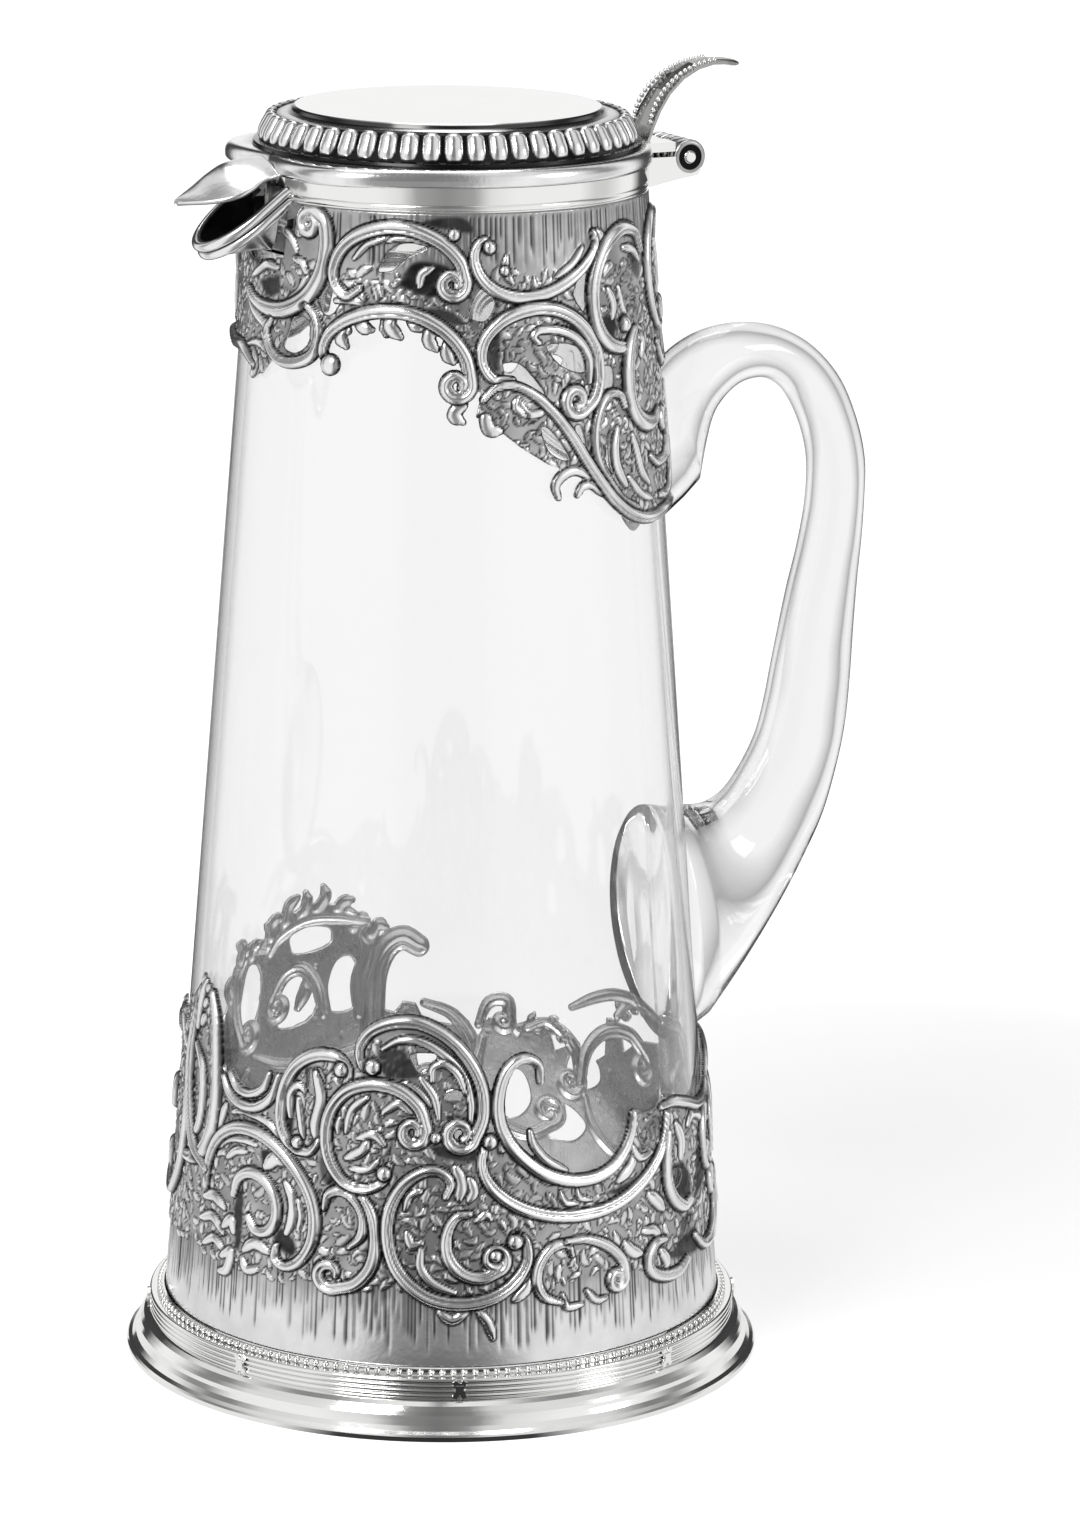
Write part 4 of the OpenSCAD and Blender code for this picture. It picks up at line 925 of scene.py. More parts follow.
    m.rib(spline([(65.6, 50), (66.6, 52.8), (64.4, 55.2), (60.4, 55), (56.4, 52),
                  (53.8, 46.8), (53.4, 40.8), (55, 35), (58.6, 30.6), (63.4, 27.8),
                  (69.4, 27), (75.4, 28.2), (80, 31.2), (82.8, 35.6), (82.4, 40),
                  (79.8, 41.2)]), w=1.4, h=1.6, groove=0.5)
    m.ball(80.2, 39.8, 1.7, 1.6)
    m.rib(spline([(92.8, 35.6), (91.8, 38), (88.2, 37.8), (85.4, 34.6), (84.8, 30.8),
                  (86.4, 27.4), (90, 25.8)]), w=1.1, h=1.4, groove=0.4)
    m.rib(curl([(91.6, 38.6), (96.6, 38.4), (101.8, 36), (105.4, 32.2), (106, 28.8)], 2.2,
               -1), w=1.15, h=1.4, groove=0.4)
    m.rib(spline([(122.4, 56), (121, 50.8), (121, 45.6), (123.2, 41.4), (127.4, 38.8),
                  (131, 39.4)]), w=1.6, h=1.5, groove=0.3)
    m.rib(spline([(119, 33.6), (115.6, 33.6), (113, 31), (114, 27.8), (118, 25.8),
                  (123.4, 25.4), (128, 27.2)]), w=1.3, h=1.4, groove=0.3)
    m.rib(spline([(120, 62.2), (125, 62.2), (131, 60.6), (138, 58.4), (145, 58.6),
                  (150, 61.6)]), w=1.2, h=1.3, groove=0.4)
    m.rib(curl([(132, 31), (137, 27.6), (143.6, 28), (148.4, 32.4), (149.6, 38.6)], 3.0, 1),
          w=1.5, h=1.5, groove=0.4)
    m.rib(curl([(150, 56.4), (144, 56), (140.4, 51.6), (140.8, 45.8)], 2.8, 1), w=1.4, h=1.4,
          groove=0.4)
    draw_handle_side(m)


def draw_handle_side(m):
    """Scrolls under the handle, s = 150 to 183, drawn on the side that m.flip names."""
    m.rib(curl([(152, 44), (154, 52), (160, 57.6), (168, 58.6), (174.6, 54.6)], 3.4, -1),
          w=1.5, h=1.5, groove=0.5)
    m.rib(curl([(153, 41), (155, 34), (161, 29.4), (168.4, 29.6), (173.6, 34.4)], 3.4, 1),
          w=1.5, h=1.5, groove=0.5)
    m.leaf([(164, 62), (169, 66), (176, 66)], w=1.8, lobes=3)
    m.leaf([(179, 30), (180, 40), (181, 50)], w=2.2, lobes=4, reach=3)
    m.rib(spline([(150, 61.6), (157, 65), (164, 67), (172, 67), (183, 65)]), w=1.2, h=1.2)


def draw_sleeve_far(m):
    """Scrollwork on the side towards +Y; s counts from the lip the other way round."""
    m.flip = -1
    m.sheet([(-1, 13), (-1, 86), (6, 80), (10, 74), (18, 72), (26, 76), (33, 72), (40, 62),
             (49, 60), (54, 70), (57.4, 75), (59, 79), (64.4, 78), (69.6, 77), (71, 83),
             (75.4, 84), (82, 86.4), (90, 85), (95, 80.6), (101.6, 78), (102, 70), (100, 60),
             (106, 58), (108, 60.6), (111, 60), (113, 56), (121, 54.6), (126, 52.4),
             (128.6, 57), (131, 56), (135.4, 52.6), (138, 56.4), (143.6, 55.4), (145, 50.6),
             (151, 53.4), (156.6, 50), (159.6, 52), (160.6, 61), (164.4, 61), (166, 54),
             (172, 58), (183, 60), (183, 13)])
    for hole in (
        [(89.6, 60), (95.4, 60), (96.8, 66), (94.6, 72), (90.6, 71.4), (88.6, 66)],
        [(77.4, 75.6), (82, 74.6), (88.6, 76), (88.4, 79.4), (82, 80.6), (76.8, 79)],
        [(73.6, 59), (79, 57.6), (84.6, 59.6), (86, 65.6), (83, 70.4), (77, 69.8), (73.6, 65)],
        [(58.4, 60), (62, 58.6), (66.2, 61.6), (68, 68.6), (66.2, 74), (62.2, 74.8),
         (60, 69)],
        [(128.6, 33.6), (134.6, 33.2), (138.6, 38), (136.4, 44.6), (130.6, 43.6)],
        [(147, 43.6), (153, 42.6), (157.6, 45.4), (156.6, 50), (150, 51)],
        [(142.6, 30), (149, 29.6), (153, 34), (148, 38), (143, 36.6)],
        [(22, 60), (28, 58), (31, 64), (26, 68)],
        [(14, 44), (20, 43), (21, 50), (16, 51)],
        [(112, 44), (118, 42.6), (121, 47.6), (116, 51.6), (111.6, 49)],
        [(102.6, 46), (106, 43), (108, 49), (104.4, 53)],
    ):
        m.hole(hole)
    for patch, amount in (
        ([(64, 50), (98, 50), (98, 62), (84, 74), (68, 62)], 0.45),
        ([(20, 30), (56, 30), (56, 56), (24, 56)], 0.35),
        ([(100, 28), (146, 28), (146, 52), (104, 54)], 0.4),
    ):
        m.tint(patch, amount, 2)
    m.hatch(0, 183, 31, 15.5, 0.95, 0.7)
    m.rib(spline([(100.6, 50), (100.4, 60), (101, 68), (103.6, 73.6), (107.6, 75.6),
                  (111.6, 73.6)]), w=2.9, h=1.6, ends=(0.7, 0.8), groove=0.3)
    m.rib(spline([(84.6, 71), (82.8, 66.6), (80.4, 62)]), w=1.6, h=1.2)
    m.rib(spline([(97, 58), (96.6, 66), (98.4, 73), (96.4, 79.6), (92, 84)]), w=1.7, h=1.4)
    m.rib(curl([(69, 83), (71.6, 77.6), (67, 78.6), (61, 78), (57.4, 73), (58, 64),
                (61.4, 57)], 3.0, 1), w=1.6, h=1.5, groove=0.4)
    m.rib(curl([(87.6, 59), (85.6, 66), (81.2, 70.8), (75.8, 70), (71.6, 64.6)], 2.8, 1),
          w=1.5, h=1.5, groove=0.4)
    for tooth in (
        [(70, 80), (70.4, 83), (72.6, 84.8)], [(75, 82), (76, 86.2), (78.6, 88)],
        [(80, 83), (81.6, 86.4), (81.2, 88.6)], [(84.4, 84), (87, 87), (86.4, 89.4)],
        [(89.6, 82), (91.6, 85), (94.4, 85.6)], [(95, 79), (97, 81), (98.6, 80.4)],
        [(99.6, 77), (101.4, 79.2), (103.4, 78.4)], [(58.6, 77), (59.4, 80), (57, 81)],
        [(54.6, 69), (53, 71.6), (54.4, 73.6)], [(63, 77), (64, 79), (66.6, 79.6)],
    ):
        m.rib(spline(tooth), w=1.35, h=1.0, ends=(1, 0.45))
    m.rib(spline([(98, 80), (90, 81.6), (82, 82), (74, 79.6), (70, 76)]), w=1.1, h=1.3)
    m.rib(curl([(64, 50), (60, 44), (62, 36.4), (70, 31.4), (79, 33.4), (83, 40)], 3.6, 1),
          w=1.6, h=1.6, groove=0.5)
    m.rib(curl([(104, 50), (108.6, 43), (107, 35), (99.6, 30.6), (91, 33), (87.4, 40)], 3.6,
               -1), w=1.6, h=1.6, groove=0.5)
    m.rib(spline([(66, 53), (76, 49), (86, 48.4), (96, 50), (104, 54)]), w=1.3, h=1.4,
          groove=0.4)
    m.leaf([(85, 47), (85, 38), (85, 29)], w=2.4, lobes=4, reach=3.4)
    m.rib(curl([(22, 71), (30, 72.4), (36.6, 67), (37.4, 59), (32, 53)], 3.4, -1), w=1.6,
          h=1.6, groove=0.5)
    m.rib(curl([(40, 60), (46.6, 58), (52.4, 51.6), (53, 43.6), (48, 37.4), (41, 36)], 3.2,
               -1), w=1.5, h=1.5, groove=0.5)
    m.rib(curl([(10, 62), (9, 52), (12, 42), (20, 36), (29, 37.6)], 3.4, 1), w=1.6, h=1.5,
          groove=0.5)
    m.rib(spline([(6, 80), (8, 70), (7, 60), (3, 51), (-4, 47)]), w=1.6, h=1.5, groove=0.4)
    m.leaf([(12, 70), (19, 74), (26, 76)], w=1.8, lobes=3)
    m.rib(curl([(113, 60), (120, 57), (124.6, 50), (122.6, 42.6), (115.6, 39)], 3.0, -1),
          w=1.5, h=1.5, groove=0.5)
    m.rib(curl([(126, 55), (128.6, 60.4), (133, 61), (133.6, 56)], 1.6, -1), w=1.4, h=1.3)
    m.rib(curl([(127, 52), (125.6, 43.6), (129, 34), (137, 29.6), (144.4, 33)], 3.2, 1),
          w=1.5, h=1.5, groove=0.5)
    m.rib(curl([(136, 55), (143.6, 56.6), (150.4, 52), (152, 44)], 3.0, -1), w=1.4, h=1.4,
          groove=0.4)
    m.leaf([(138, 55), (143, 57), (148, 54)], w=1.4, lobes=3)
    draw_handle_side(m)


def make_sleeve(step):
    m = Relief(SLEEVE_REF, *SLEEVE_SPAN, step, SLEEVE_INNER)
    m.ground = 0.08 + 0.28 * np.clip((m.z - 21) / 9, 0, 1) + 0 * m.ground
    m.matting(2.4, 29, 84)
    draw_sleeve_near(m)
    draw_sleeve_far(m)
    m.build("chased_sleeve", "base_sleeve")


# ---------------------------- lid

LOBES = 52
LOBE_H = 1.7
LOBE_LOW = np.array((39.3, 263.0))
LOBE_TOP = np.array((36.2, 268.5))
# corners that close the border inside, as (radius, height)
LOBE_BACK = np.array([(35.4, 268.2), (35.4, 262.8)])


def make_gadroons(step):
    """Border of fat rounded lobes, with painted shade, partly patina, between them and at their
    feet.
    """
    per_lobe = int(round(7 / step))
    columns = LOBES * per_lobe
    run = (LOBE_TOP - LOBE_LOW) / np.linalg.norm(LOBE_TOP - LOBE_LOW)
    out = np.array([run[1], -run[0]])
    share = np.linspace(0, 1, 22)
    across = ((np.arange(columns) / per_lobe) % 1) * 2 - 1
    cap = np.clip(1 - (np.clip(0.46 - share, 0, 1) / 0.46) ** 2, 0, 1) ** 0.5
    cap *= np.clip(1 - (np.clip(share - 0.8, 0, 1) / 0.26) ** 2, 0, 1) ** 0.5
    wide = 0.9 * (0.4 + 0.6 * cap)
    q = np.abs(across)[None, :] / wide[:, None]
    lobe = np.sqrt(np.clip(1 - q ** 2.1, 0, 1)) * cap[:, None]
    line = LOBE_LOW + share[:, None] * (LOBE_TOP - LOBE_LOW)
    r = line[:, :1] + out[0] * LOBE_H * (lobe - 0.15)
    z = line[:, 1:] + out[1] * LOBE_H * (lobe - 0.15)
    r = np.vstack([r, np.repeat(LOBE_BACK[:, :1], columns, 1)])
    z = np.vstack([z, np.repeat(LOBE_BACK[:, 1:], columns, 1)])
    a = np.arange(columns) * 2 * math.pi / columns
    # painted shade, partly patina: dark between the lobes and at their feet, and all dark on the
    # border's back
    dark = np.vstack([np.clip((0.52 - lobe) / 0.3, 0, 1), np.ones((2, columns))])
    loft("gadroon_border", np.stack([r * np.cos(a), r * np.sin(a), z], -1), LID,
         ("gadroon_ring",), dark, joined=True)


# distance from the axis to the flange's squared front, and its radius elsewhere
FRONT_X = 46.9
FLANGE_R = 41.4
# painted shade: the flange darkens inside this radius, on its top by the foot of the lobes and
# underneath
FLANGE_SHADE_R = 41.2
# distance in from the edge and height of each point round the flange's section
FLANGE_SECTION = (
    (9.5, 258.32), (3.0, 258.32), (0.7, 258.35), (0.25, 258.6), (0.02, 259.1), (0.0, 260.0),
    (0.12, 260.7), (0.5, 261.4), (1.1, 261.85), (1.9, 262.05), (3.0, 262.1), (9.5, 262.1),
)
# inner radius of the flange, under the lobes
FLANGE_IN = 34.0


def make_flange():
    """Rounded flange of the lid, drawn out to a squared front over the lip."""
    turn = np.linspace(-math.pi, math.pi, 361)[:-1]
    bulge = FLANGE_R + 7.6 * np.exp(-(((np.abs(np.degrees(turn)) - 24) / 21) ** 2))
    front = FRONT_X / np.maximum(np.cos(turn), 0.5)
    sharp = 6.0
    reach = (bulge ** -sharp + front ** -sharp) ** (-1 / sharp) * 1.035
    reach = np.maximum(np.minimum(reach, front), FLANGE_R)
    rings = []
    for inward, z in FLANGE_SECTION:
        r = reach - inward if inward < 5 else np.full_like(reach, FLANGE_IN)
        rings.append(np.stack([-r * np.cos(turn), -r * np.sin(turn), 0 * r + z], -1))
    far = np.hypot(np.array(rings)[..., 0], np.array(rings)[..., 1])
    # painted shade by the lobes' foot and under the flange
    dark = np.clip((FLANGE_SHADE_R - far) / 1.2, 0, 0.9)
    loft("flange", rings, LID, ("lid_flange",), dark, joined=True)


# distance from the axis, ridge height, edge height, half width
BEAK = (
    (42.5, 261.6, 258.6, 8.6), (46.2, 261.5, 258.0, 9.4), (49.0, 261.1, 256.4, 9.9),
    (51.6, 260.4, 255.2, 9.8), (54.4, 258.8, 254.4, 8.6), (57.4, 256.6, 253.8, 6.2),
    (60.2, 254.8, 253.4, 3.1), (61.9, 253.7, 253.1, 0.9),
)


def make_beak():
    """Roof-shaped plate over the lip, thin and open below."""
    across = np.linspace(-1, 1, 41)
    count = len(across)
    rings = []
    for x, ridge, edge, half in spline(BEAK, 0.3):
        rise = ridge - edge
        top = edge + rise * (1 - np.abs(across) ** 1.35)
        under = np.minimum(top - 0.7 - 0.15 * rise * (1 - np.abs(across)), top - 0.5)
        over = np.stack([0 * top - x, across * half, top], -1)
        back = np.stack([0 * top - x, across * half * 0.97, under], -1)
        rings.append(np.vstack([over, back[::-1]]))
    rings = np.array(rings)
    rows, columns = rings.shape[:2]
    ends = [[row * columns + k, row * columns + k + 1, row * columns + columns - 2 - k,
             row * columns + columns - 1 - k]
            for row in (0, rows - 1) for k in range(count - 1)]
    quads = np.vstack([ring_grid(rows, columns)[: (rows - 1) * columns], ends])
    # painted shade: the underside is darker than the top
    dark = np.tile([0] * count + [0.45] * count, rows)
    new_piece("beak", rings.reshape(-1, 3), quads, LID, ("lid_beak",), dark)


# ---------------------------- pouring lip

LIP_ROOT = 42.1
LIP_REACH = 57.2
LIP_STRAIGHT = 6.0
LIP_HALF = 9.0
LIP_SLOPE = math.radians(37)
LIP_ROOT_Z = 255.7
WIRE_R = 1.05


def lip_rim(turn, inward=0.0, drop=0.0):
    """Rim of the lip: straight sides from the band and a half round nose."""
    nose = LIP_REACH - LIP_ROOT - LIP_STRAIGHT + 1 - inward
    half = LIP_HALF - inward
    back = np.abs(turn) > 90
    x = np.where(back, LIP_ROOT - 1 + LIP_STRAIGHT * (180 - np.abs(turn)) / 90,
                 LIP_ROOT - 1 + LIP_STRAIGHT + nose * np.cos(np.radians(turn)))
    y = np.where(back, np.sign(turn) * half, half * np.sin(np.radians(turn)))
    z = LIP_ROOT_Z - (x - LIP_ROOT) * math.tan(LIP_SLOPE) - drop
    return np.stack([-x, y, z], -1)


def make_wire():
    """Double reeded wire round the lip's edge, with painted shade, partly patina, in the groove
    between its reeds and on its back.
    """
    path = lip_rim(np.linspace(-176, 176, 177))
    tangent = np.gradient(path, axis=0)
    tangent /= np.linalg.norm(tangent, axis=1)[:, None]
    up = np.array([-math.sin(LIP_SLOPE), 0, math.cos(LIP_SLOPE)])
    out = np.cross(up, tangent)
    section = []
    # third value of each point: painted shade, partly patina, in the groove between the reeds
    # and on the wire's back
    for reed in (0, 1):
        for a in np.linspace(80, -80, 11):
            groove = max(0, abs(a) - 50) / 32 if (a < 0) != bool(reed) else 0
            section.append((WIRE_R * math.cos(math.radians(a)) * 0.95,
                            WIRE_R * (math.sin(math.radians(a)) - 1 - 2 * reed), groove))
    section += [(-0.5, -4.1, 0.6), (-0.8, -3.6, 0.8), (-0.8, -0.5, 0.5), (-0.4, -0.1, 0.1)]
    rings = [[p + o * x + up * y for x, y, _ in section] for p, o in zip(path, out)]
    loft("lip_wire", rings, JUG, ("spout_wire",), [dark for *_, dark in section])


def make_lip():
    """Thin shell of the pouring lip, from the wire down to its keel on the collar."""
    turn = np.linspace(-180, 180, 145)
    nose = np.maximum(np.cos(np.radians(turn)), 0)
    keel = np.stack([-(LIP_ROOT + 0.1 + 4.4 * nose),
                     4.4 * np.sin(np.radians(np.clip(turn, -90, 90))),
                     242.6 + 0.4 * nose], -1)
    outside, inside = [
        [(1 - t) ** 2 * rim + 2 * t * (1 - t) * belly + t ** 2 * foot
         for t in np.linspace(0, 1, 15)]
        for rim, belly, foot in (
            (lip_rim(turn, 0.55, 1.0), lip_rim(turn, 2.55, 6.4), keel),
            (lip_rim(turn, 1.3, 0.5), lip_rim(turn, 3.3, 5.4), keel + (0, 0, 1)),
        )
    ]
    rings = np.array(outside + inside[::-1])
    rings[:, :, 0] = np.minimum(rings[:, :, 0], -LIP_ROOT + 0.3)
    rows, columns = rings.shape[:2]
    grid = np.arange(rows * columns).reshape(rows, columns)
    after = np.roll(grid, -1, 0)
    quads = np.stack([grid[:, :-1], grid[:, 1:], after[:, 1:], after[:, :-1]], -1)
    # painted shade: the lip's inside face is much darker (0.85) than its outside (0.12)
    dark = np.repeat([0.12, 0.85], rows // 2 * columns)
    new_piece("lip_shell", rings.reshape(-1, 3), quads.reshape(-1, 4), JUG, ("spout_lip",),
              dark)


# ---------------------------- hinge and thumbpiece

HINGE_X = 53.5
HINGE_Z = 257.1
HINGE_W = 15.0
# half of the gap between two knuckles
KNUCKLE_GAP = 0.08
BARREL_R = 3.7
THUMB_LINE = ((46, 263.6), (46.7, 266.6), (48.4, 269.6), (51, 272.3), (54.6, 274.6),
              (58.6, 276), (62.4, 276.6))
THUMB_BEADS = 18
BEAD_R = 0.55


def barrel(name, low, high, body, profile):
    """Turned barrel on the hinge's axis; profile: (share of its length, radius, patina)."""
    turn = np.linspace(0, 2 * math.pi, 65)[:-1]
    rings = [np.stack([HINGE_X + r * np.cos(turn), 0 * turn + low + (high - low) * share,
                       HINGE_Z + r * np.sin(turn)], -1) for share, r, _ in profile]
    loft(name, rings, body, (), np.array([[dark] for *_, dark in profile]))


def make_hinge():
    """Five knuckles with dark seams, and the riveted pin in a sunk ring at each end."""
    length = HINGE_W / 5
    seam = BARREL_R - 0.35
    for i in range(5):
        low = -HINGE_W / 2 + length * i + KNUCKLE_GAP
        first = [(0, 0.9, 1), (0, seam, 0.9)]
        last = [(1, seam, 0.9), (1, 0.9, 1)]
        if i == 0:
            first = [(-0.02, 0.9, 1), (-0.02, 2.6, 1), (-0.04, 2.8, 0.4), (-0.02, seam, 0.35)]
        if i == 4:
            last = [(1.02, seam, 0.35), (1.04, 2.8, 0.4), (1.02, 2.6, 1), (1.02, 0.9, 1)]
        barrel("knuckle_%d" % i, low, low + length - 2 * KNUCKLE_GAP, LID if i % 2 else JUG,
               [*first, (0.1, BARREL_R, 0.15), (0.9, BARREL_R, 0.15), *last])
    for side, name in ((-1, "near"), (1, "far")):
        end = side * (HINGE_W / 2 - KNUCKLE_GAP)
        barrel("pin_head_" + name, end - 0.5 * side, end + 0.3 * side, JUG,
               [(0, 0.02, 0.9), (0, 1.5, 0.9), (0.6, 1.5, 0), (0.9, 1.2, 0), (1, 0.6, 0),
                (1, 0.02, 0)])


def make_thumb_beads():
    """Two rows of small beads along the thumbpiece's edges."""
    line = spline(THUMB_LINE, 0.2)
    run = np.concatenate([[0], np.cumsum(np.hypot(*np.diff(line, axis=0).T))])
    lon, lat = np.meshgrid(np.linspace(0, 2 * math.pi, 13)[:-1], np.linspace(-1.4, 1.4, 7))
    ball = np.stack([np.cos(lat) * np.cos(lon), np.cos(lat) * np.sin(lon), np.sin(lat)], -1)
    ball = ball.reshape(-1, 3) * BEAD_R
    verts, quads = [], []
    for side in (-1, 1):
        for i in range(THUMB_BEADS):
            t = (i + 0.5) / THUMB_BEADS * run[-1]
            x, z = np.interp(t, run, line[:, 0]), np.interp(t, run, line[:, 1])
            at = (x - 0.3, side * (3.7 - 1.1 * (i / THUMB_BEADS) ** 2), z + 0.35)
            quads.append(ring_grid(7, 12)[: 6 * 12] + len(ball) * len(verts))
            verts.append(ball + at)
    verts = np.vstack(verts)
    new_piece("thumb_pearls", verts, np.vstack(quads), LID, ("thumb_beads",),
              np.zeros(len(verts)))


# ---------------------------- glass handle

# along the loop: outer edge (x, z), inner edge (x, z), half of the width
HANDLE = (
    (62.5, 65.5, 54.6, 114.3, 15.6), (70.5, 74.5, 57.5, 113.8, 13),
    (77.5, 83.5, 61, 113.3, 11), (83, 91.5, 65, 113.7, 9.6),
    (88.2, 100.3, 69.4, 116.3, 8.7), (92.5, 108.8, 73.5, 121.8, 8),
    (95.8, 119.5, 76.7, 128, 7.6), (97.8, 129, 78.6, 135, 7.3), (98.8, 140, 80, 142, 7.1),
    (99.3, 150, 81.7, 150, 7), (100, 161, 83.8, 159.5, 6.8), (100.9, 171, 86.2, 168.5, 6.6),
    (101.3, 180, 88, 178, 6.5), (101.2, 188, 88.3, 186.8, 6.4),
    (99, 196.8, 87, 193.5, 6.4), (94.6, 206.2, 84.4, 199.6, 6.4),
    (88, 213.4, 81.2, 204.2, 6.4), (80.5, 217.7, 77, 206.8, 6.5), (73, 219.4, 73, 207.2, 6.6),
    (66, 219.3, 69, 206.1, 6.8), (59.5, 217.8, 65.4, 203.3, 7.2), (54, 214.8, 62.8, 199.6, 7.7),
    (50, 211, 61.2, 194, 8.2), (48.2, 208.6, 59.6, 185.5, 8.6),
)
HANDLE_REACH = 101.28
SEAT_SHARES = (0.02, 0.4, 0.75, 0.93, 1)


def glass_seat(seat, share, up, turn):
    """Outline of a seat on the cone, shrunk towards its middle."""
    middle, high, wide = seat
    z = middle - up * np.cos(turn) * high / 2 * share
    y = np.sin(turn) * wide / 2 * share
    return np.stack([np.sqrt(cone_r(z) ** 2 - y ** 2) + 0.02, y, z], -1)


def make_handle():
    """Smooth loop of clear glass that spreads into its seats."""
    turn = np.linspace(0, 2 * math.pi, 73)[:-1]
    k = (1 + np.cos(turn)) / 2
    loop = []
    for outer_x, outer_z, inner_x, inner_z, half in spline(HANDLE, 2.2):
        x = np.minimum(inner_x + (outer_x - inner_x) * k, HANDLE_REACH)
        loop.append(np.stack([x, np.sin(turn) * half, inner_z + (outer_z - inner_z) * k], -1))
    start = [glass_seat(PAD, share, 1, turn) for share in SEAT_SHARES]
    end = [glass_seat(ROOT, share, -1, turn) for share in SEAT_SHARES[::-1]]
    bridge = [loop[-1] * (1 - t) + end[0] * t - (0, 0, 3 * t * (1 - t)) for t in (0.3, 0.65)]
    rings = [*start, (start[-1] + loop[0]) / 2, *loop, *bridge, *end]
    loft("handle_loop", rings, JUG, ("glass_handle",), None, mat=THICK_GLASS,
         slot="clear_glass")


# ---------------------------- finishes of CAD nodes

SLOT_FINISH = {"clear_glass": GLASS, "silver_plain": SILVER, "silver_chased": CHASED,
               "plaster": PLASTER}
NODE_FINISH = {"lid_cover": COVER, "thumbpiece": THUMB}


def finish_nodes():
    slots = {p["node"]: p["material_slot"] for p in frame["record"]["subparts"]}
    for name, obj in frame["nodes"].items():
        obj.data.materials.clear()
        obj.data.materials.append(NODE_FINISH.get(name, SLOT_FINISH[slots[name]]))


# ---------------------------- studio

# the camera's place and lens, fitted to the photograph; lengths in mm
CAM_DISTANCE = 1247.4
CAM_HEIGHT = 429.66
CAM_SIDE = 20.48
CAM_AZIMUTH = math.radians(27)
CAM_PITCH = 0.237018
CAM_ROLL = 0.0096943
CAM_LENS = 199.85


def make_camera():
    ahead = Vector((math.sin(CAM_AZIMUTH), math.cos(CAM_AZIMUTH), 0))
    right = Vector((math.cos(CAM_AZIMUTH), -math.sin(CAM_AZIMUTH), 0))
    place = -ahead * CAM_DISTANCE + right * CAM_SIDE + Vector((0, 0, CAM_HEIGHT))
    look = ahead * math.cos(CAM_PITCH) - Vector((0, 0, math.sin(CAM_PITCH)))
    up = right.cross(look)
    side = right * math.cos(CAM_ROLL) + up * math.sin(CAM_ROLL)
    top = up * math.cos(CAM_ROLL) - right * math.sin(CAM_ROLL)
    data = bpy.data.cameras.new("camera")
    data.lens = CAM_LENS
    data.sensor_width = 36
    data.sensor_fit = "HORIZONTAL"
    data.clip_end = 50
    cam = bpy.data.objects.new("camera", data)
    bpy.context.scene.collection.objects.link(cam)
    turn = Matrix((side, top, -look)).transposed().to_4x4()
    cam.matrix_world = Matrix.Translation(place * MM) @ turn
    bpy.context.scene.camera = cam


def around(tree, vector):
    """Place round the jug: 0 on the side the photograph was taken from, 1 on the far side."""
    split = add(tree, "ShaderNodeSeparateXYZ", Vector=vector)
    x, y = split.outputs["X"], split.outputs["Y"]
    sine, cosine = math.sin(CAM_AZIMUTH), math.cos(CAM_AZIMUTH)
    ahead = math_node(tree, "ADD", math_node(tree, "MULTIPLY", x, -sine),
                      math_node(tree, "MULTIPLY", y, -cosine))
    across = math_node(tree, "ADD", math_node(tree, "MULTIPLY", x, cosine),
                       math_node(tree, "MULTIPLY", y, -sine))
    angle = math_node(tree, "ABSOLUTE", math_node(tree, "ARCTAN2", across, ahead))
    return math_node(tree, "DIVIDE", angle, math.pi)


def clear_view(tree):
    """1 for rays from the camera or through glass; for those through glass; for reflections."""
    path = add(tree, "ShaderNodeLightPath").outputs
    seen = math_node(tree, "MAXIMUM", path["Is Camera Ray"], path["Is Transmission Ray"])
    return seen, path["Is Transmission Ray"], path["Is Glossy Ray"]


# half of the floor's width (metres)
FLOOR_HALF = 6.0
# painted shadow: the floor glows less round this place, where the jug's shadow falls (metres)
SHADOW_PLACE = (0.15, 0.09, 0)


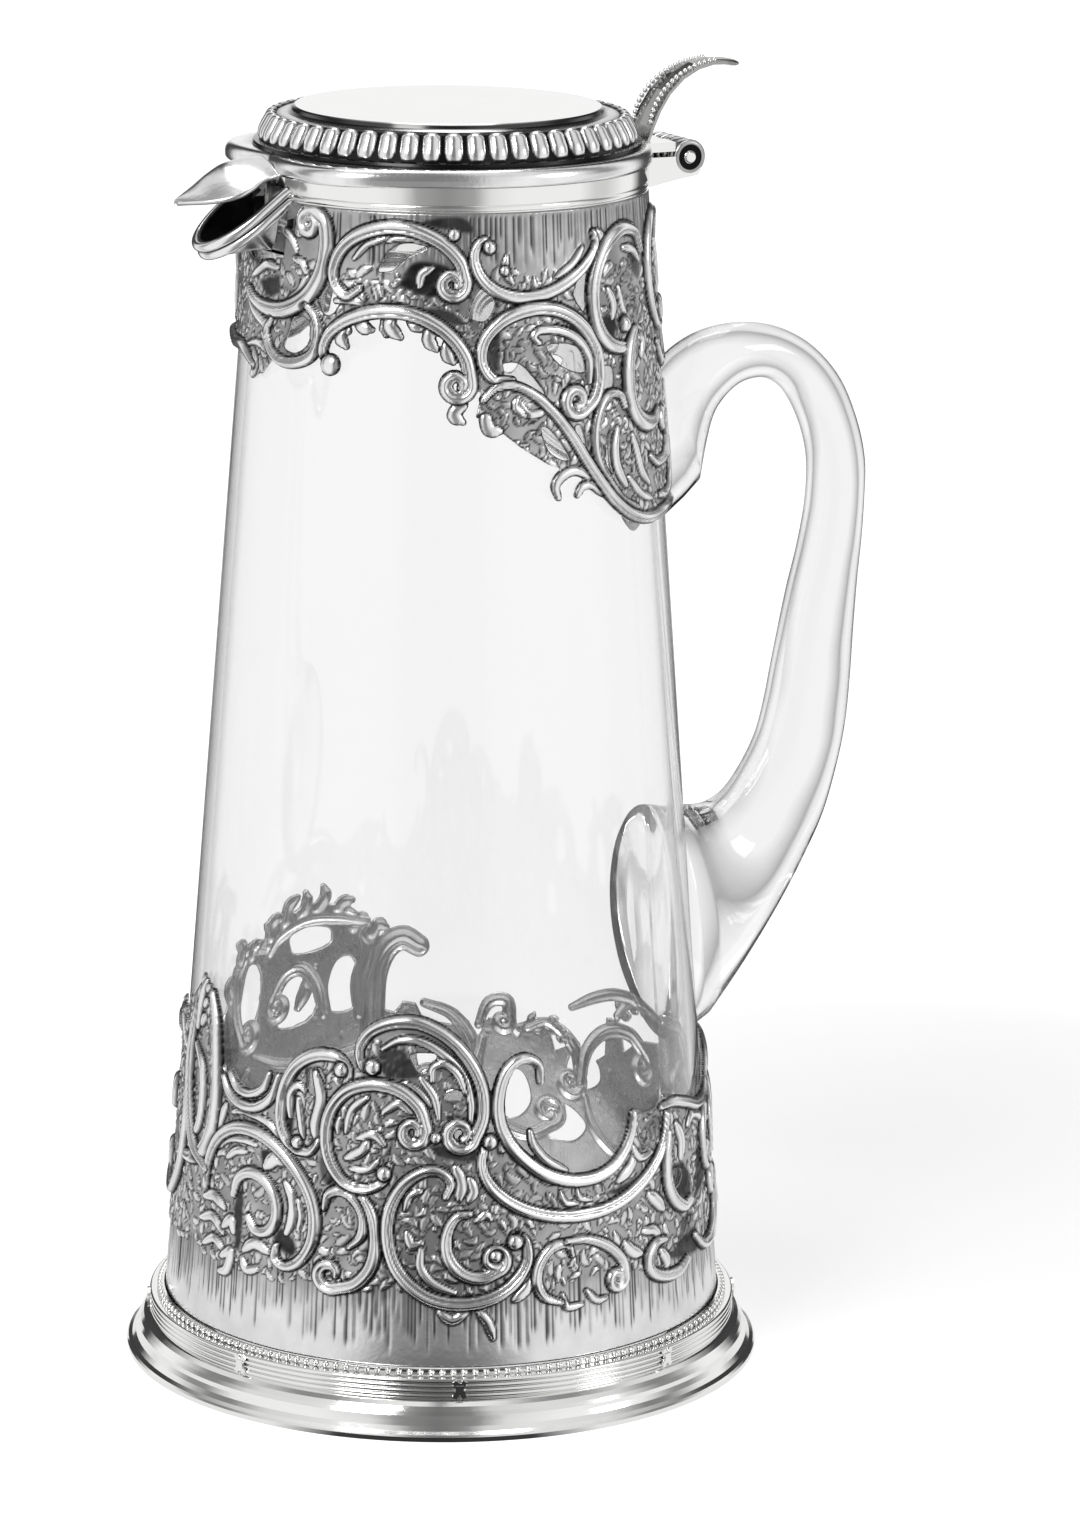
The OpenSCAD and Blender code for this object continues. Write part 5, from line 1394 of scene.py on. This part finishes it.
def make_floor():
    """Pale glowing floor that keeps the shadow, with painted shadow where its glow dips, and
    that the silver sees as a bright ground with painted dark reflections.
    """
    mesh = bpy.data.meshes.new("floor")
    mesh.from_pydata([(x * FLOOR_HALF, y * FLOOR_HALF, -0.02 * MM)
                      for x, y in ((-1, -1), (1, -1), (1, 1), (-1, 1))], [], [(0, 1, 2, 3)])
    floor = bpy.data.objects.new("floor", mesh)
    bpy.context.scene.collection.objects.link(floor)
    mat, tree, bsdf, out = new_material("white_sweep")
    place = coordinates(tree)
    seen, through, glossy = clear_view(tree)
    # the matt part keeps the real shadow and is black to reflections, which see only the glow
    settle(tree, bsdf, Roughness=1, Specular_IOR_Level=0,
           Base_Color=ramp(tree, glossy, [(0.0, 0.42), (1.0, 0.0)]))
    beside = add(tree, "ShaderNodeVectorMath", operation="DISTANCE")
    put(tree, beside.inputs[0], place)
    put(tree, beside.inputs[1], SHADOW_PLACE)
    painted_shadow = ramp(tree, beside.outputs["Value"], [(0.0, 0.5), (0.12, 0.6), (0.22, 0.84)])
    white = blend(tree, through, painted_shadow, (0.93, 0.93, 0.93, 1))
    # painted reflections for the silver: dark on the camera side and behind the jug, near the
    # foot (ring) and farther out (far)
    side = around(tree, place)
    ring = ramp(tree, side, [(0.0, 0.03), (0.1, 0.05), (0.17, 0.9), (0.66, 0.9), (0.76, 0.02),
                             (1.0, 0.02)])
    far = ramp(tree, side,
               [(0.0, 0.3), (0.09, 0.4), (0.14, 0.85), (0.22, 0.98), (0.45, 0.98), (0.52, 0.7),
                (0.57, 0.7), (0.66, 0.98), (0.72, 0.98), (0.79, 0.08), (0.9, 0.06), (0.95, 0.9)])
    away = add(tree, "ShaderNodeVectorMath", operation="LENGTH")
    put(tree, away.inputs[0], place)
    near = ramp(tree, away.outputs["Value"], [(0.1, 1.0), (0.16, 0.0)])
    painted_reflection = blend(tree, near, far, ring)
    level = blend(tree, glossy, (0.3, 0.3, 0.3, 1), painted_reflection)
    glow = add(tree, "ShaderNodeEmission", Strength=1, Color=blend(tree, seen, level, white))
    both = add(tree, "ShaderNodeAddShader")
    put(tree, both.inputs[0], bsdf.outputs[0])
    put(tree, both.inputs[1], glow.outputs[0])
    put(tree, out.inputs["Surface"], both.outputs[0])
    mesh.materials.append(mat)


def make_world():
    """White round the picture, and for the silver a bright room with darker sides."""
    world = bpy.data.worlds.new("studio")
    bpy.context.scene.world = world
    world.use_nodes = True
    tree = world.node_tree
    place = coordinates(tree, "Generated")
    split = add(tree, "ShaderNodeSeparateXYZ", Vector=place)
    height = ramp(tree, split.outputs["Z"],
                  [(0.0, 0.95), (0.3, 1.0), (0.5, 0.85), (0.72, 0.8), (0.95, 0.95)])
    sides = ramp(tree, around(tree, place),
                 [(0.0, 0.2), (0.08, 0.3), (0.14, 0.85), (0.26, 1.0), (0.45, 0.95), (0.53, 0.3),
                  (0.58, 0.3), (0.66, 1.0), (0.72, 1.0), (0.79, 0.06), (0.9, 0.05), (0.95, 1.0)])
    room = blend(tree, 1, height, sides, "MULTIPLY")
    back = tree.nodes["Background"]
    put(tree, back.inputs["Color"], blend(tree, clear_view(tree)[0], room, (1, 1, 1, 1)))
    put(tree, back.inputs["Strength"], 1)


def area_light(name, place, target, size, power):
    """Area lamp; place, target and size in metres, power in watts."""
    data = bpy.data.lights.new(name, "AREA")
    data.shape = "RECTANGLE"
    data.size, data.size_y = size
    data.energy = power
    light = bpy.data.objects.new(name, data)
    bpy.context.scene.collection.objects.link(light)
    light.location = place
    light.rotation_euler = (Vector(target) - Vector(place)).to_track_quat("-Z", "Y").to_euler()


def make_lights():
    area_light("key", (-1.5, -0.9, 1.5), (0, 0, 0.12), (0.7, 1.0), 18)
    area_light("fill", (1.3, -1.6, 0.9), (0, 0, 0.12), (0.5, 0.8), 5)
    area_light("top", (0.2, 0.5, 2.0), (0, 0, 0.1), (1.0, 0.7), 8)


# ---------------------------- build

RELIEF_STEP = 0.36

make_camera()
finish_nodes()
make_sleeve(RELIEF_STEP)
make_skirt(RELIEF_STEP)
make_gadroons(RELIEF_STEP)
make_flange()
make_beak()
make_wire()
make_lip()
make_hinge()
make_thumb_beads()
make_handle()
make_floor()
make_world()
make_lights()

scene = bpy.context.scene
scene.view_settings.view_transform = "Standard"
